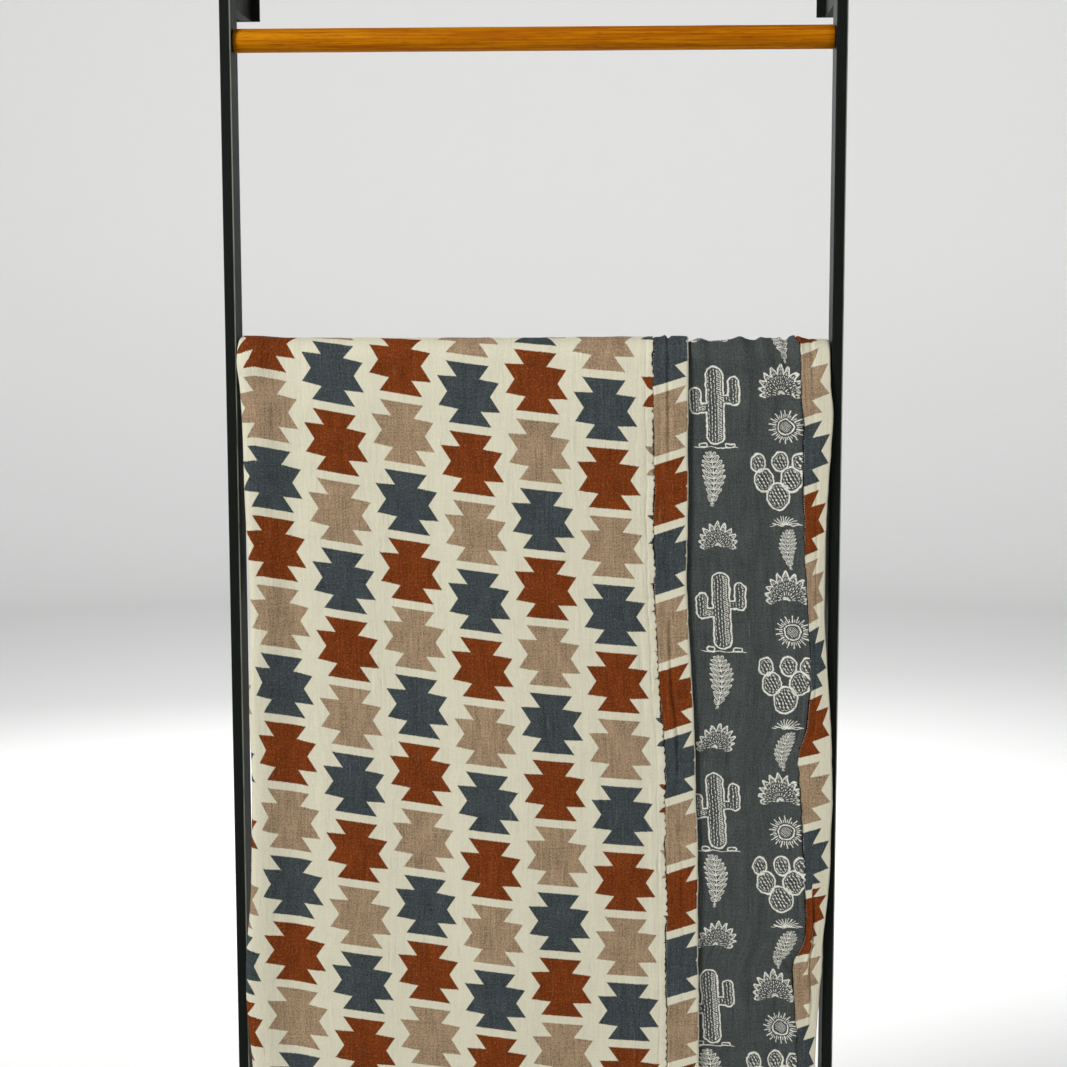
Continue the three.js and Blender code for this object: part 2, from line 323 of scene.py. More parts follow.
def fill_shader(bench, shader, colour, roughness, height, bump, specular=None):
    """Feeds a shader its colour, roughness and bumps, given as their strength and distance."""
    bench.feed(shader.inputs["Base Color"], colour)
    bench.feed(shader.inputs["Roughness"], roughness)
    bench.feed(shader.inputs["Normal"], bench.bump(height, *bump))
    if specular is not None:
        shader.inputs["Specular IOR Level"].default_value = specular


def new_group(name, inputs, outputs):
    """An empty node group with named sockets, its bench, and the sockets inside by name."""
    tree = bpy.data.node_groups.new(name, "ShaderNodeTree")
    for direction, sockets in (("INPUT", inputs), ("OUTPUT", outputs)):
        for socket_name, kind in sockets.items():
            tree.interface.new_socket(socket_name, in_out=direction, socket_type=f"NodeSocket{kind}")
    bench = Bench(tree)
    entry = bench.node("NodeGroupInput")
    way_out = bench.node("NodeGroupOutput")
    return tree, bench, entry.outputs, way_out.inputs


def finish_steel():
    steel, bench, shader = new_material("satin_black_steel")
    coordinates = bench.node("ShaderNodeTexCoord").outputs
    place = coordinates["Object"]
    facing_x, facing_y, _ = bench.parts(coordinates["Normal"])
    # Painted highlight: the rounded arrises that face right and to the front are painted pale, strongest
    # where noise marks the coat as rubbed
    turned_right = bench.ramp(facing_x + facing_x.size() * 0.2, 0.22, 0.44)
    arris_highlight = turned_right * bench.ramp(-facing_y, 0.20, 0.36)
    cloud = bench.noise(place, scale=9, detail=4, roughness=0.6)
    powder = bench.noise(place, scale=1400, detail=2, roughness=0.6)
    rubbed = bench.noise(place, (160, 160, 22), detail=3, roughness=0.65)
    wear = bench.ramp(rubbed, 0.58, 0.74) * 0.6
    arris_highlight = arris_highlight * bench.ramp(rubbed + cloud, 0.62, 1.05, 0.35, 1.0)
    colour = bench.mix(arris_highlight, bench.mix(wear, STEEL_BLACK, STEEL_WORN), STEEL_PAINTED_HIGHLIGHT)
    fill_shader(bench, shader, colour, 0.52 + cloud * 0.12 + wear * 0.08, powder, POWDER_BUMP, STEEL_SPECULAR)
    return steel


satin_black_steel = finish_steel()
STEEL_NODES = [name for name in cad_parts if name.startswith(("post_", "arm_", "wall_plate_"))]
for name in STEEL_NODES:
    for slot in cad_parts[name].material_slots:
        slot.material = satin_black_steel

# The rungs: three turned wooden dowels, let in between the posts. Their ends are eased
# and they are oiled to a warm orange brown, with fine straight grain along them.
DOWEL_SIDES = 72
DOWEL_EASE = 0.0012
DOWEL_RINGS = 96
DOWEL_LIGHT = (0.60, 0.222, 0.0010)
DOWEL_DARK = (0.36, 0.095, 0.0008)
DOWEL_PORE = (0.15, 0.032, 0.0008)
DOWEL_FLECK = (0.72, 0.40, 0.10)
DOWEL_SPECULAR = 0.04
DOWEL_CENTRE = 0.0004
DOWEL_UNEVEN = 0.00006
GRAIN_BUMP = (0.35, 0.00025)


def dowel_profile(length, radius):
    """Rows of (radius, distance from the middle), the ends eased and the shaft a touch uneven."""
    half = length / 2
    rows = [(DOWEL_CENTRE, -half), (radius - DOWEL_EASE, -half)]
    for step in range(DOWEL_RINGS + 1):
        along = -half + DOWEL_EASE + (length - 2 * DOWEL_EASE) * step / DOWEL_RINGS
        uneven = DOWEL_UNEVEN * (1 + math.sin(along * 71) * math.sin(along * 23))
        rows.append((radius - uneven, along))
    rows += [(radius - DOWEL_EASE, half), (DOWEL_CENTRE, half)]
    return rows


def turn_dowel(name, node):
    low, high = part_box(node)
    middle = (low + high) / 2
    radius = (high.z - low.z) / 2
    points, faces = turned_rings(
        dowel_profile(high.x - low.x, radius), DOWEL_SIDES,
        lambda r, along, angle: (
            middle.x + along, middle.y - r * math.cos(angle), middle.z + r * math.sin(angle)),
    )
    faces = [face[::-1] for face in faces]
    faces.append(tuple(range(DOWEL_SIDES)))
    faces.append(tuple(range(len(points) - 1, len(points) - 1 - DOWEL_SIDES, -1)))
    return mesh_object(name, points, faces)


def finish_dowel():
    wood, bench, shader = new_material("oiled_dowel")
    place = bench.node("ShaderNodeTexCoord").outputs["Object"]
    board = bench.noise(place, (1.6, 34, 34), detail=3, roughness=0.6)
    grain = bench.noise(place, (9, 520, 520), detail=4, roughness=0.62)
    pores = bench.noise(place, (38, 1500, 1500), detail=2, roughness=0.7)
    flecks = bench.noise(place, (300, 900, 900), detail=1)
    tone = bench.ramp(board * 0.45 + grain * 0.75, 0.44, 0.74)
    colour = bench.mix(tone, DOWEL_DARK, DOWEL_LIGHT)
    pore = bench.ramp(pores, 0.57, 0.68)
    colour = bench.mix(pore * 0.85, colour, DOWEL_PORE)
    colour = bench.mix(bench.ramp(flecks, 0.79, 0.83) * 0.5, colour, DOWEL_FLECK)
    roughness = 0.50 + grain * 0.14 + pore * 0.1
    fill_shader(bench, shader, colour, roughness, grain - pore * 0.6, GRAIN_BUMP, DOWEL_SPECULAR)
    return wood


oiled_dowel = finish_dowel()
RUNG_NODES = sorted(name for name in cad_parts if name.startswith("rung_"))
for name in RUNG_NODES:
    dowel = turn_dowel(f"dowel_{name[-1]}", name)
    dowel.data.materials.append(oiled_dowel)
    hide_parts(name)
    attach(dowel, "root")

# The quilt's printed panel: two plies of cotton muslin, cut 1.05 by 1.08 m, printed with
# stepped blocks in rust, taupe and slate on cream. It is sewn round its edge to the slate
# panel, folded lengthwise, and hung over the second rung. Its sizes are in millimetres.
MM = 0.001
RUNG_RADIUS = 12.7
GAP = 0.3
PANEL_THICKNESS = 1.6
QUILT_HALF = PANEL_THICKNESS + GAP / 2
BINDING_HALF = 1.95
BINDING_WIDTH = 37
CLOTH_LENGTH = 1150
FRONT_DROP = 834
OUTER_RUN = 482
UNDER_RUN = 626
FOLD_RADIUS = 5.5
FOLD_PUFF_WIDTH = 45
LAYER_STEP = 5.2
EDGE_LIFT = 2
EDGE_LIFT_WIDTH = 34
HANG_FLARE = 4.5
SIDE_FLARE = 7.2
FOLD_PUFF = 6.5
UNDER_CROWN = 1.4
STRIP_LIFT = 1.54
FOLD_PRESS = 0.36
REST_RADIUS = (RUNG_RADIUS + GAP) / math.cos(math.pi / 20) + BINDING_HALF
BEND_RUN = math.pi * REST_RADIUS
BACK_RUN = CLOTH_LENGTH - FRONT_DROP - BEND_RUN
BACK_HEM = -BEND_RUN - BACK_RUN
UNDER_START = OUTER_RUN + math.pi * FOLD_RADIUS
CLOTH_WIDTH = UNDER_START + UNDER_RUN
PANEL_ACROSS = (BINDING_WIDTH, CLOTH_WIDTH - BINDING_WIDTH)
PANEL_RUNS = (BACK_HEM + BINDING_WIDTH, FRONT_DROP - BINDING_WIDTH)

quilt_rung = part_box("rung_2")
RUNG_Y = (quilt_rung[0].y + quilt_rung[1].y) / 2 / MM
RUNG_Z = (quilt_rung[0].z + quilt_rung[1].z) / 2 / MM

# Where the folded quilt's edges and seams lie in x, by the run of cloth below the rung
OUTLINE_COLUMNS = ("run", "fold", "outer_seam", "outer_edge", "under_seam", "under_edge")
OUTLINE = np.array([
    (-334, -313, 131, 168, 279, 315.5),
    (-60, -316.5, 129, 167.5, 280, 317.6),
    (-24, -317.3, 128, 167, 282, 317.8),
    (-9, -317.8, 128, 167, 283.5, 317.8),
    (4, -317.7, 128, 167, 285, 317.8),
    (28, -315, 128, 167, 286, 318.4),
    (66, -312.9, 128.5, 167.5, 287.5, 321.2),
    (155, -311.1, 129, 167.5, 290.5, 316.4),
    (265, -307.5, 132, 168, 296, 315.1),
    (350, -310.1, 136, 172.5, 301.5, 320.4),
    (400, -310.6, 140.5, 175.5, 297, 324),
    (434, -309.4, 142.5, 177.5, 288.5, 325.2),
    (485, -309.8, 143.5, 179, 291.5, 327.2),
    (565, -311.4, 145.5, 181, 297, 324.8),
    (605, -313.7, 146, 181.7, 299, 321.8),
    (640, -317.4, 146, 182, 297, 318.6),
    (664, -319.1, 146, 182.3, 286.5, 318.4),
    (715, -319.3, 146.5, 183, 288.5, 315.3),
    (752, -316.8, 146.8, 183.5, 291, 313.2),
    (834, -309.4, 147, 184, 293.5, 310.5),
])

# Soft folds: middle, lean for each millimetre down, half width, rise, and the runs it fades between
SOFT_FOLDS = (
    (-245, 0.03, 42, 2.4, 20, 900),
    (-150, 0.05, 46, -2.4, 60, 900),
    (10, -0.03, 60, 3, 40, 900),
    (96, 0.02, 42, 2.2, -30, 900),
    (225, 0.02, 26, 3, -30, 900),
    (256, 0.02, 10, 3, -50, 120),
    (282, 0.02, 8, 3.4, -50, 130),
    (280, 0, 9, 3.4, 240, 440),
    (278, 0, 9, 3.4, 540, 690),
)


def smooth(value, low, high):
    t = np.clip((value - low) / (high - low), 0, 1)
    return t * t * (3 - 2 * t)


def lasting(value, rise_from, rise_to, fall_from, fall_to):
    """Grows from 0 to 1 between the first two places, and back to 0 between the last two."""
    return smooth(value, rise_from, rise_to) * (1 - smooth(value, fall_from, fall_to))


def bell(value):
    return np.exp(-value * value)


def mixed(low, high, share):
    return low + (high - low) * share


def outline_at(run):
    """Each edge's and seam's x at every run, on a smooth curve through the outline's rows."""
    runs = OUTLINE[:, 0]
    i = np.clip(np.searchsorted(runs, run) - 1, 0, len(runs) - 2)
    before = np.maximum(i - 1, 0)
    after = np.minimum(i + 2, len(runs) - 1)
    span = runs[i + 1] - runs[i]
    t = np.clip((run - runs[i]) / span, 0, 1)
    edges = {}
    for column, name in enumerate(OUTLINE_COLUMNS[1:], 1):
        x = OUTLINE[:, column]
        start_slope = span * (x[i + 1] - x[before]) / (runs[i + 1] - runs[before])
        end_slope = span * (x[after] - x[i]) / (runs[after] - runs[i])
        edges[name] = (
            (2 * t**3 - 3 * t**2 + 1) * x[i] + (t**3 - 2 * t**2 + t) * start_slope
            + (3 * t**2 - 2 * t**3) * x[i + 1] + (t**3 - t**2) * end_slope
        )
    return edges


def section_at(across, edges):
    """The folded section from the outer layer's edge round the fold: x, and height over the under layer."""
    fold_x = edges["fold"] + FOLD_RADIUS + QUILT_HALF
    in_outer = (across - BINDING_WIDTH) / (OUTER_RUN - BINDING_WIDTH)
    strip_x = mixed(edges["outer_edge"], edges["outer_seam"], across / BINDING_WIDTH)
    outer_x = np.where(in_outer < 0, strip_x, mixed(edges["outer_seam"], fold_x, in_outer))
    puff = (2 * FOLD_RADIUS - LAYER_STEP) * smooth(across, OUTER_RUN - FOLD_PUFF_WIDTH, OUTER_RUN)
    outer_height = LAYER_STEP + puff + EDGE_LIFT * (1 - smooth(across, 0, EDGE_LIFT_WIDTH))
    angle = (across - OUTER_RUN) / FOLD_RADIUS
    turn_x = fold_x - FOLD_RADIUS * np.sin(angle)
    turn_height = FOLD_RADIUS * (1 + np.cos(angle))
    in_under = across - UNDER_START
    to_seam = in_under / (UNDER_RUN - BINDING_WIDTH)
    from_edge = (UNDER_RUN - in_under) / BINDING_WIDTH
    under_strip_x = mixed(edges["under_edge"], edges["under_seam"], from_edge)
    under_x = np.where(to_seam < 1, mixed(fold_x, edges["under_seam"], to_seam), under_strip_x)
    where = [across <= OUTER_RUN, across <= UNDER_START]
    return np.select(where, [outer_x, turn_x], under_x), np.select(where, [outer_height, turn_height], 0)


def lift_at(x, run):
    """How far the hanging cloth stands out from its path over the rung."""
    lift = HANG_FLARE * smooth(run, -8, 50)
    lift = lift + SIDE_FLARE * smooth(np.abs(x), 250, 311) * smooth(run, -16, 24)
    lift = lift + FOLD_PUFF * smooth(-x, 270, 311) * bell((run - 2) / 17)
    for middle, lean, width, rise, start, end in SOFT_FOLDS:
        fade = lasting(run, start - 25, start + 35, end - 60, end)
        lift = lift + rise * fade * bell((x - middle - lean * np.maximum(run, 0)) / width)
    crown = UNDER_CROWN * smooth(x, 166, 176) + STRIP_LIFT * smooth(x, 276, 290)
    return lift + crown * lasting(run, -75, -45, -20, 22)


def cloth_point(across, run):
    """A point of the quilt's middle surface, in millimetres."""
    x, height = section_at(across, outline_at(run))
    over_rung = lasting(run, -60, -40, -20, 8)
    puffed = np.clip((height - LAYER_STEP) / (2 * FOLD_RADIUS - LAYER_STEP), 0, 1)
    height = height * (1 - FOLD_PRESS * over_rung * puffed)
    radius = REST_RADIUS + height + lift_at(x, run)
    angle = np.clip(-run / REST_RADIUS, 0, math.pi)
    share = np.maximum(-run - BEND_RUN, 0) / BACK_RUN
    below = np.where(run >= 0, run, share * (BACK_RUN - math.pi * height))
    return np.stack([
        x,
        RUNG_Y - radius * np.cos(angle),
        RUNG_Z + radius * np.sin(angle) - below,
    ], axis=-1)


def cloth_normal(across, run):
    """The direction that the printed side faces."""
    step = 0.5
    along_across = cloth_point(across + step, run) - cloth_point(across - step, run)
    along_run = cloth_point(across, run + step) - cloth_point(across, run - step)
    normal = np.cross(along_across, along_run)
    return normal / np.linalg.norm(normal, axis=-1, keepdims=True)


def rumple(u, v, seed):
    """Smooth uneven heights from -1 to 1, about one hump to each unit of u and v."""
    lattice = np.random.default_rng(seed).uniform(-1, 1, (512, 512))
    i = np.floor(u).astype(int)
    j = np.floor(v).astype(int)
    s = smooth(u - i, 0, 1)
    t = smooth(v - j, 0, 1)
    top = mixed(lattice[i % 512, j % 512], lattice[(i + 1) % 512, j % 512], s)
    bottom = mixed(lattice[i % 512, (j + 1) % 512], lattice[(i + 1) % 512, (j + 1) % 512], s)
    return mixed(top, bottom, t)


# The side seams wander as the thread draws them in, and the panel's edge swells over them in
# short scallops. The drift is the seam's shift across the cloth, the lip is how far the swollen
# edge leans over it, and the pucker is how the cloth beside it humps between pulls of the thread.
SEAM_DRIFT = 1.5
SEAM_DRIFT_PITCH = 10
DRIFT_REACH = 16
OUTER_SEAM_SEED = 31
UNDER_SEAM_SEED = 32
SEAM_LIP_LEAST = 0.3
SEAM_LIP_SWELL = 2.5
SCALLOP_PITCH = 8.6
SEAM_PUCKER = 1.0
SEAM_PUCKER_PITCH = 9
SEAM_DEPTH = 1.6


def seam_drift(run, seed):
    quick = rumple(run / SEAM_DRIFT_PITCH, run * 0, seed)
    slow = rumple(run / (3.1 * SEAM_DRIFT_PITCH), run * 0 + 9, seed)
    return SEAM_DRIFT * (0.6 * quick + 0.7 * slow)


def panel_drift(from_outer, from_under, run):
    """A panel's shift beside its two side seams."""
    beside_outer = seam_drift(run, OUTER_SEAM_SEED) * (1 - smooth(from_outer, 0, DRIFT_REACH))
    return beside_outer + seam_drift(run, UNDER_SEAM_SEED) * (1 - smooth(from_under, 0, DRIFT_REACH))


def seam_scallop(along, seed):
    """0 at each pull of the thread, 1 between two."""
    place = along / SCALLOP_PITCH + 0.6 * rumple(along / 24, along * 0, seed + 6)
    return np.sqrt(np.abs(np.sin(math.pi * place)))


def seam_lip(distance, along, seed):
    """How far the panel's swollen edge leans over its seam."""
    uneven = 0.85 + 0.65 * rumple(along / 19, along * 0, seed + 7)
    reach = (SEAM_LIP_LEAST + SEAM_LIP_SWELL * seam_scallop(along, seed)) * uneven
    return reach * bell((distance - 1.6) / 1.3) * smooth(distance, 0, 1.2)


def seam_relief(distance, along, seed):
    """The panel beside a seam: drawn down at it, rolled up next to it, puckered between the stitches."""
    drawn = -SEAM_DEPTH * (1 - smooth(distance, 0, 1.6))
    uneven = 0.65 + 0.5 * rumple(along / 23, along * 0, seed + 1)
    swell = (0.35 + 0.75 * seam_scallop(along, seed)) * uneven * bell((distance - 2.8) / 3.6)
    roll = 0.5 * uneven * bell((distance - 10) / 6)
    groove = -0.75 * bell((distance - 6.6 - 0.8 * rumple(along / 15, along * 0, seed + 8)) / 1.1) * uneven
    reach = np.exp(-distance / (11 + 5 * rumple(along / 31, along * 0, seed + 2)))
    humps = rumple(along / SEAM_PUCKER_PITCH, distance / 40, seed + 3)
    pucker = SEAM_PUCKER * humps * reach * smooth(distance, 1.5, 6)
    return drawn + swell + roll + groove + pucker


# Main creases of the outer layer as hung: x, top run, bottom run, lean, half width and rise
OUTER_CREASES = (
    (-287, 30, 330, 0.01, 3.0, 0.8),
    (-262, 120, 520, 0.02, 3.6, -0.7),
    (-205, 40, 260, -0.01, 4.2, 0.6),
    (-176, 300, 700, 0.02, 3.4, -0.7),
    (-118, 60, 420, 0.02, 3.6, 0.7),
    (-92, 380, 760, 0.01, 4.4, -0.6),
    (-40, 120, 480, -0.02, 3.2, 0.7),
    (-8, 420, 780, 0.02, 3.8, 0.7),
    (38, 60, 360, 0.01, 3.0, -0.7),
    (64, 330, 700, 0.02, 3.6, 0.8),
    (102, 20, 420, 0.02, 3.2, 0.9),
    (116, 260, 797, 0.03, 3.0, -0.8),
)


def gauze_relief(across, run, x):
    """The outer layer's printed side: its main creases over the fine upright crinkle of washed muslin."""
    relief = 0.42 * rumple(across / 10, run / 85, 21) + 0.25 * rumple(across / 70, run / 9, 23)
    for crease_x, top, bottom, lean, width, rise in OUTER_CREASES:
        wander = 3 * rumple(run / 60, run * 0, int(crease_x) + 900)
        fade = lasting(run, top, top + 70, bottom - 90, bottom)
        relief = relief + rise * fade * bell((x - crease_x - lean * (run - top) - wander) / width)
    return relief


def uneven_stations(*stretches):
    """Places along the cloth: each stretch is (start, end, step), and starts where the last one ends."""
    places = []
    for start, end, step in stretches:
        count = max(2, round(abs(end - start) / step))
        places += list(np.linspace(start, end, count, endpoint=False))
    return np.array(places + [stretches[-1][1]])


def cloth_sheet(name, points, cloth_map, print_map, material):
    """A one-ply sheet from a grid of points in millimetres, with its place on the flat cloth in metres
    and its place in the printed repeat kept as two UV maps."""
    rows, columns = points.shape[:2]
    index = np.arange(rows * columns).reshape(rows, columns)
    quads = np.stack([index[:-1, :-1], index[1:, :-1], index[1:, 1:], index[:-1, 1:]], -1).reshape(-1, 4)
    made = mesh_object(name, points.reshape(-1, 3) * MM, quads.tolist())
    corners = np.empty(len(made.data.loops), dtype=np.int32)
    made.data.loops.foreach_get("vertex_index", corners)
    for map_name, values in (("cloth", cloth_map), ("print", print_map)):
        layer = made.data.uv_layers.new(name=map_name)
        flat = values.reshape(-1, 2)[corners].astype(np.float32)
        layer.uv.foreach_set("vector", flat.ravel())
    made.data.materials.append(material)
    return made


# The printed repeat: blocks stand in columns and rows. The count of columns and rows at the
# rung's height in the rack's middle, how they lean and bow down and across the hung cloth.
COLUMN_PITCH = 73
ROW_PITCH = 74.2
COLUMN_START = 4.96
ROW_START = -0.26
COLUMN_LEAN = -0.58
COLUMN_BOW = 0.16
COLUMN_SPREAD = -0.04
ROW_SLOPE = -0.46
ROW_FAN = 0.13
ROW_SAG = 0.2
HALF_WIDTH = 300
DROP_LENGTH = 800
FACE_RADIUS_RATIO = 1.46


# How the print closes up beside the fold: by run, the most that it shifts, how far that reaches
# from the fold, and how far it hangs lower there
FOLD_SQUEEZE = np.array([
    (-24, 3.5, 22, 7),
    (36, 3.5, 20, 6),
    (80, 2.6, 16, 4.2),
    (130, 4, 16, 3),
    (240, 4, 16, 3.2),
    (330, 8, 21, 1),
    (410, 8, 26, 0.8),
    (484, 6.5, 26, 0.5),
    (545, 8, 22, 0),
    (620, 7, 20, 0),
    (700, 8, 27, 0),
    (765, 3, 26, 0),
    (834, 1, 26, 0),
])


def squeezed(x, fold, run):
    """The place in x and run whose print shows at x beside the fold."""
    shift, reach, dip = (np.interp(run, FOLD_SQUEEZE[:, 0], FOLD_SQUEEZE[:, i]) for i in (1, 2, 3))
    near = 1 - smooth(x - fold, 0, reach)
    return x - shift * near, run - dip * near


def print_place(x, run):
    """The column and row of the repeat at a place on the outer layer, x run on past the fold."""
    over_rung = np.maximum(run, -BEND_RUN) * FACE_RADIUS_RATIO + np.minimum(run + BEND_RUN, 0)
    drawn = np.where(run < 0, over_rung, run)
    down = (drawn - 5) / DROP_LENGTH
    side = x / HALF_WIDTH
    held_down = np.clip(down, 0, 1.05)
    held_side = np.clip(side, -1.1, 1.1)
    column = COLUMN_START + x / COLUMN_PITCH + COLUMN_LEAN * held_down + COLUMN_BOW * held_down**2
    column = column + COLUMN_SPREAD * held_side * held_down
    row = ROW_START + down * DROP_LENGTH / ROW_PITCH + ROW_SLOPE * side
    row = row + ROW_FAN * held_side * held_down + ROW_SAG * held_side**2
    return np.stack([column, row], -1)


CREAM = (0.73, 0.69, 0.53)
RUST = (0.181, 0.035, 0.0028)
TAUPE = (0.348, 0.241, 0.148)
SLATE = (0.048, 0.060, 0.066)
DRAWN_THREAD = (0.36, 0.33, 0.27)
CLOTH_BUMP = (1.0, 0.001)
CLOTH_SPECULAR = 0.08
BLOCK_DROP = 1.3
MOTIF_WAIST = 0.316
MOTIF_ARM = 0.468
MOTIF_NOTCH = 0.166
MOTIF_ARM_HEIGHT = 0.231
MOTIF_END_HEIGHT = 0.44
ARM_DROOP = 0.07
INK_EDGE = 0.006


def build_block_print():
    """The stepped block print as a group: from a place in the repeat, its ink and its colour."""
    tree, bench, entry, way_out = new_group(
        "stepped_block_print",
        {"Repeat": "Vector", "Cloth": "Vector"},
        {"Ink": "Float", "Colour": "Color"},
    )
    column, row, _ = bench.parts(entry["Repeat"])
    bleed = bench.noise(entry["Cloth"], (900, 900, 1), detail=1) - 0.5
    step = (column + 0.5).floor()
    odd = step - (step * 0.5).floor() * 2.0
    row = row - (1.0 - odd) * BLOCK_DROP
    block = (row + 0.5).floor()
    aside = (column - step).size() + bleed * 0.030
    upward = (row - block).size() + bleed * 0.030
    arm_side = (MOTIF_WAIST + upward * ((MOTIF_ARM - MOTIF_WAIST) / MOTIF_ARM_HEIGHT)) - aside
    arm_top = (MOTIF_ARM_HEIGHT - (aside - MOTIF_NOTCH) * ARM_DROOP) - upward
    slope = (MOTIF_WAIST - MOTIF_NOTCH) / (MOTIF_END_HEIGHT - MOTIF_ARM_HEIGHT)
    end_side = (MOTIF_NOTCH + (upward - MOTIF_ARM_HEIGHT) * slope) - aside
    end_top = MOTIF_END_HEIGHT - upward
    inside = arm_side.least(arm_top).most(end_side.least(end_top))
    bench.feed(way_out["Ink"], bench.ramp(inside, -INK_EDGE, INK_EDGE))
    shade = block - (block / 3.0 + 0.0001).floor() * 3.0
    colour = bench.mix(shade.over(0.5), RUST, TAUPE)
    bench.feed(way_out["Colour"], bench.mix(shade.over(1.5), colour, SLATE))
    return tree


def build_muslin_weave():
    """Washed double muslin as a group: how threads and slubs lighten it, where ink missed the thread
    tops, where a thread is drawn, and its height in millimetres."""
    tree, bench, entry, way_out = new_group(
        "muslin_weave",
        {"Cloth": "Vector", "Slub": "Float", "Crinkle": "Float"},
        {"Tone": "Float", "Bare": "Float", "Drawn": "Float", "Height": "Float"},
    )
    cloth = entry["Cloth"]
    warp = bench.noise(cloth, (520, 24, 1), detail=2, roughness=0.6) - 0.5
    weft = bench.noise(cloth, (32, 450, 1), detail=2, roughness=0.6) - 0.5
    mottle = bench.noise(cloth, (560, 560, 1), detail=2, roughness=0.75) - 0.5
    cloud = bench.noise(cloth, (64, 34, 1), detail=3, roughness=0.6) - 0.5
    missed = bench.noise(cloth, (480, 410, 1), detail=1)
    pulled = bench.noise(cloth, (290, 19, 1), detail=2)
    crinkle = bench.noise(cloth, (240, 30, 1), detail=3, roughness=0.55)
    buckle = bench.noise(cloth, (110, 160, 1), detail=2, roughness=0.5)
    thread_x = bench.sum("SINE", bench.parts(cloth)[0] * (2 * math.pi / 0.00062))
    thread_y = bench.sum("SINE", bench.parts(cloth)[1] * (2 * math.pi / 0.00066))
    threads = thread_x * thread_y
    streak = warp * 0.85 + weft * 0.5 + mottle * 2.1 + cloud * 0.7 + threads * 0.08
    bench.feed(way_out["Tone"], (1.0 + streak * Term(bench, entry["Slub"])).most(0.25))
    bench.feed(way_out["Bare"], bench.ramp(missed, 0.52, 0.84))
    drawn = bench.ramp(pulled, 0.66, 0.76)
    bench.feed(way_out["Drawn"], drawn)
    crinkled = (crinkle * 2.0 + buckle * 0.9) * Term(bench, entry["Crinkle"])
    woven = warp * 0.22 + weft * 0.2 + mottle * 0.2 + threads * 0.05
    bench.feed(way_out["Height"], crinkled + woven - drawn * 0.2)
    return tree


def finish_printed_muslin(name, crinkle, seam_at=None):
    """The printed cloth. A strip has lost its ink along its folded edge, and it has painted shade in
    its seam, which lies at seam_at across it."""
    cloth_material, bench, shader = new_material(name)
    cloth = bench.node("ShaderNodeUVMap", uv_map="cloth").outputs[0]
    repeat = bench.node("ShaderNodeUVMap", uv_map="print").outputs[0]
    ink = bench.group(block_print, Repeat=repeat, Cloth=cloth)
    printed = Term(bench, ink.outputs["Ink"])
    weave = bench.group(muslin_weave, Cloth=cloth, Slub=0.14 + printed * 0.90, Crinkle=crinkle)
    inked = printed * (0.995 - Term(bench, weave.outputs["Bare"]) * 0.085)
    if seam_at:
        inked = inked * bench.ramp(bench.parts(cloth)[0].size() * 1000.0, 0.7, 1.7, 0.1, 1.0)
    colour = bench.mix(inked, CREAM, ink.outputs["Colour"])
    colour = bench.mix(Term(bench, weave.outputs["Drawn"]) * 0.16, colour, DRAWN_THREAD)
    tone = Term(bench, weave.outputs["Tone"])
    if seam_at:
        # Painted shade: the strip's tone darkens towards its seam, down to 0.12 right at it and back to full
        # 3 mm away
        from_seam = seam_at - bench.parts(cloth)[0].size() * 1000.0
        tone = tone * bench.ramp(from_seam, 0.3, 3.0, 0.12, 1.0)
    colour = bench.mix(1.0, colour, bench.joined(tone, tone, tone), "MULTIPLY")
    height = weave.outputs["Height"]
    fill_shader(bench, shader, colour, 0.94 - inked * 0.05, height, CLOTH_BUMP, CLOTH_SPECULAR)
    return cloth_material


block_print = build_block_print()
muslin_weave = build_muslin_weave()
printed_muslin = finish_printed_muslin("printed_muslin", 0.5)

PANEL_STATIONS = uneven_stations(
    (PANEL_ACROSS[0], BINDING_WIDTH + 9, 0.6),
    (BINDING_WIDTH + 9, BINDING_WIDTH + 18, 1.5),
    (BINDING_WIDTH + 18, OUTER_RUN, 4.2),
    (OUTER_RUN, UNDER_START, 1.7),
    (UNDER_START, PANEL_ACROSS[1] - 14, 9),
    (PANEL_ACROSS[1] - 14, PANEL_ACROSS[1], 2),
)
RUN_STATIONS = uneven_stations(
    (PANEL_RUNS[0], PANEL_RUNS[0] + 12, 2.4),
    (PANEL_RUNS[0] + 12, -BEND_RUN, 7),
    (-BEND_RUN, 0, 2.4),
    (0, PANEL_RUNS[1] - 12, 2.0),
    (PANEL_RUNS[1] - 12, PANEL_RUNS[1], 2),
)


def hem_relief(run, across, seed):
    """The panel beside the two hems."""
    return (
        seam_relief(run - PANEL_RUNS[0], across, seed) * (run < 0)
        + seam_relief(PANEL_RUNS[1] - run, across, seed + 20) * (run >= 0)
    )


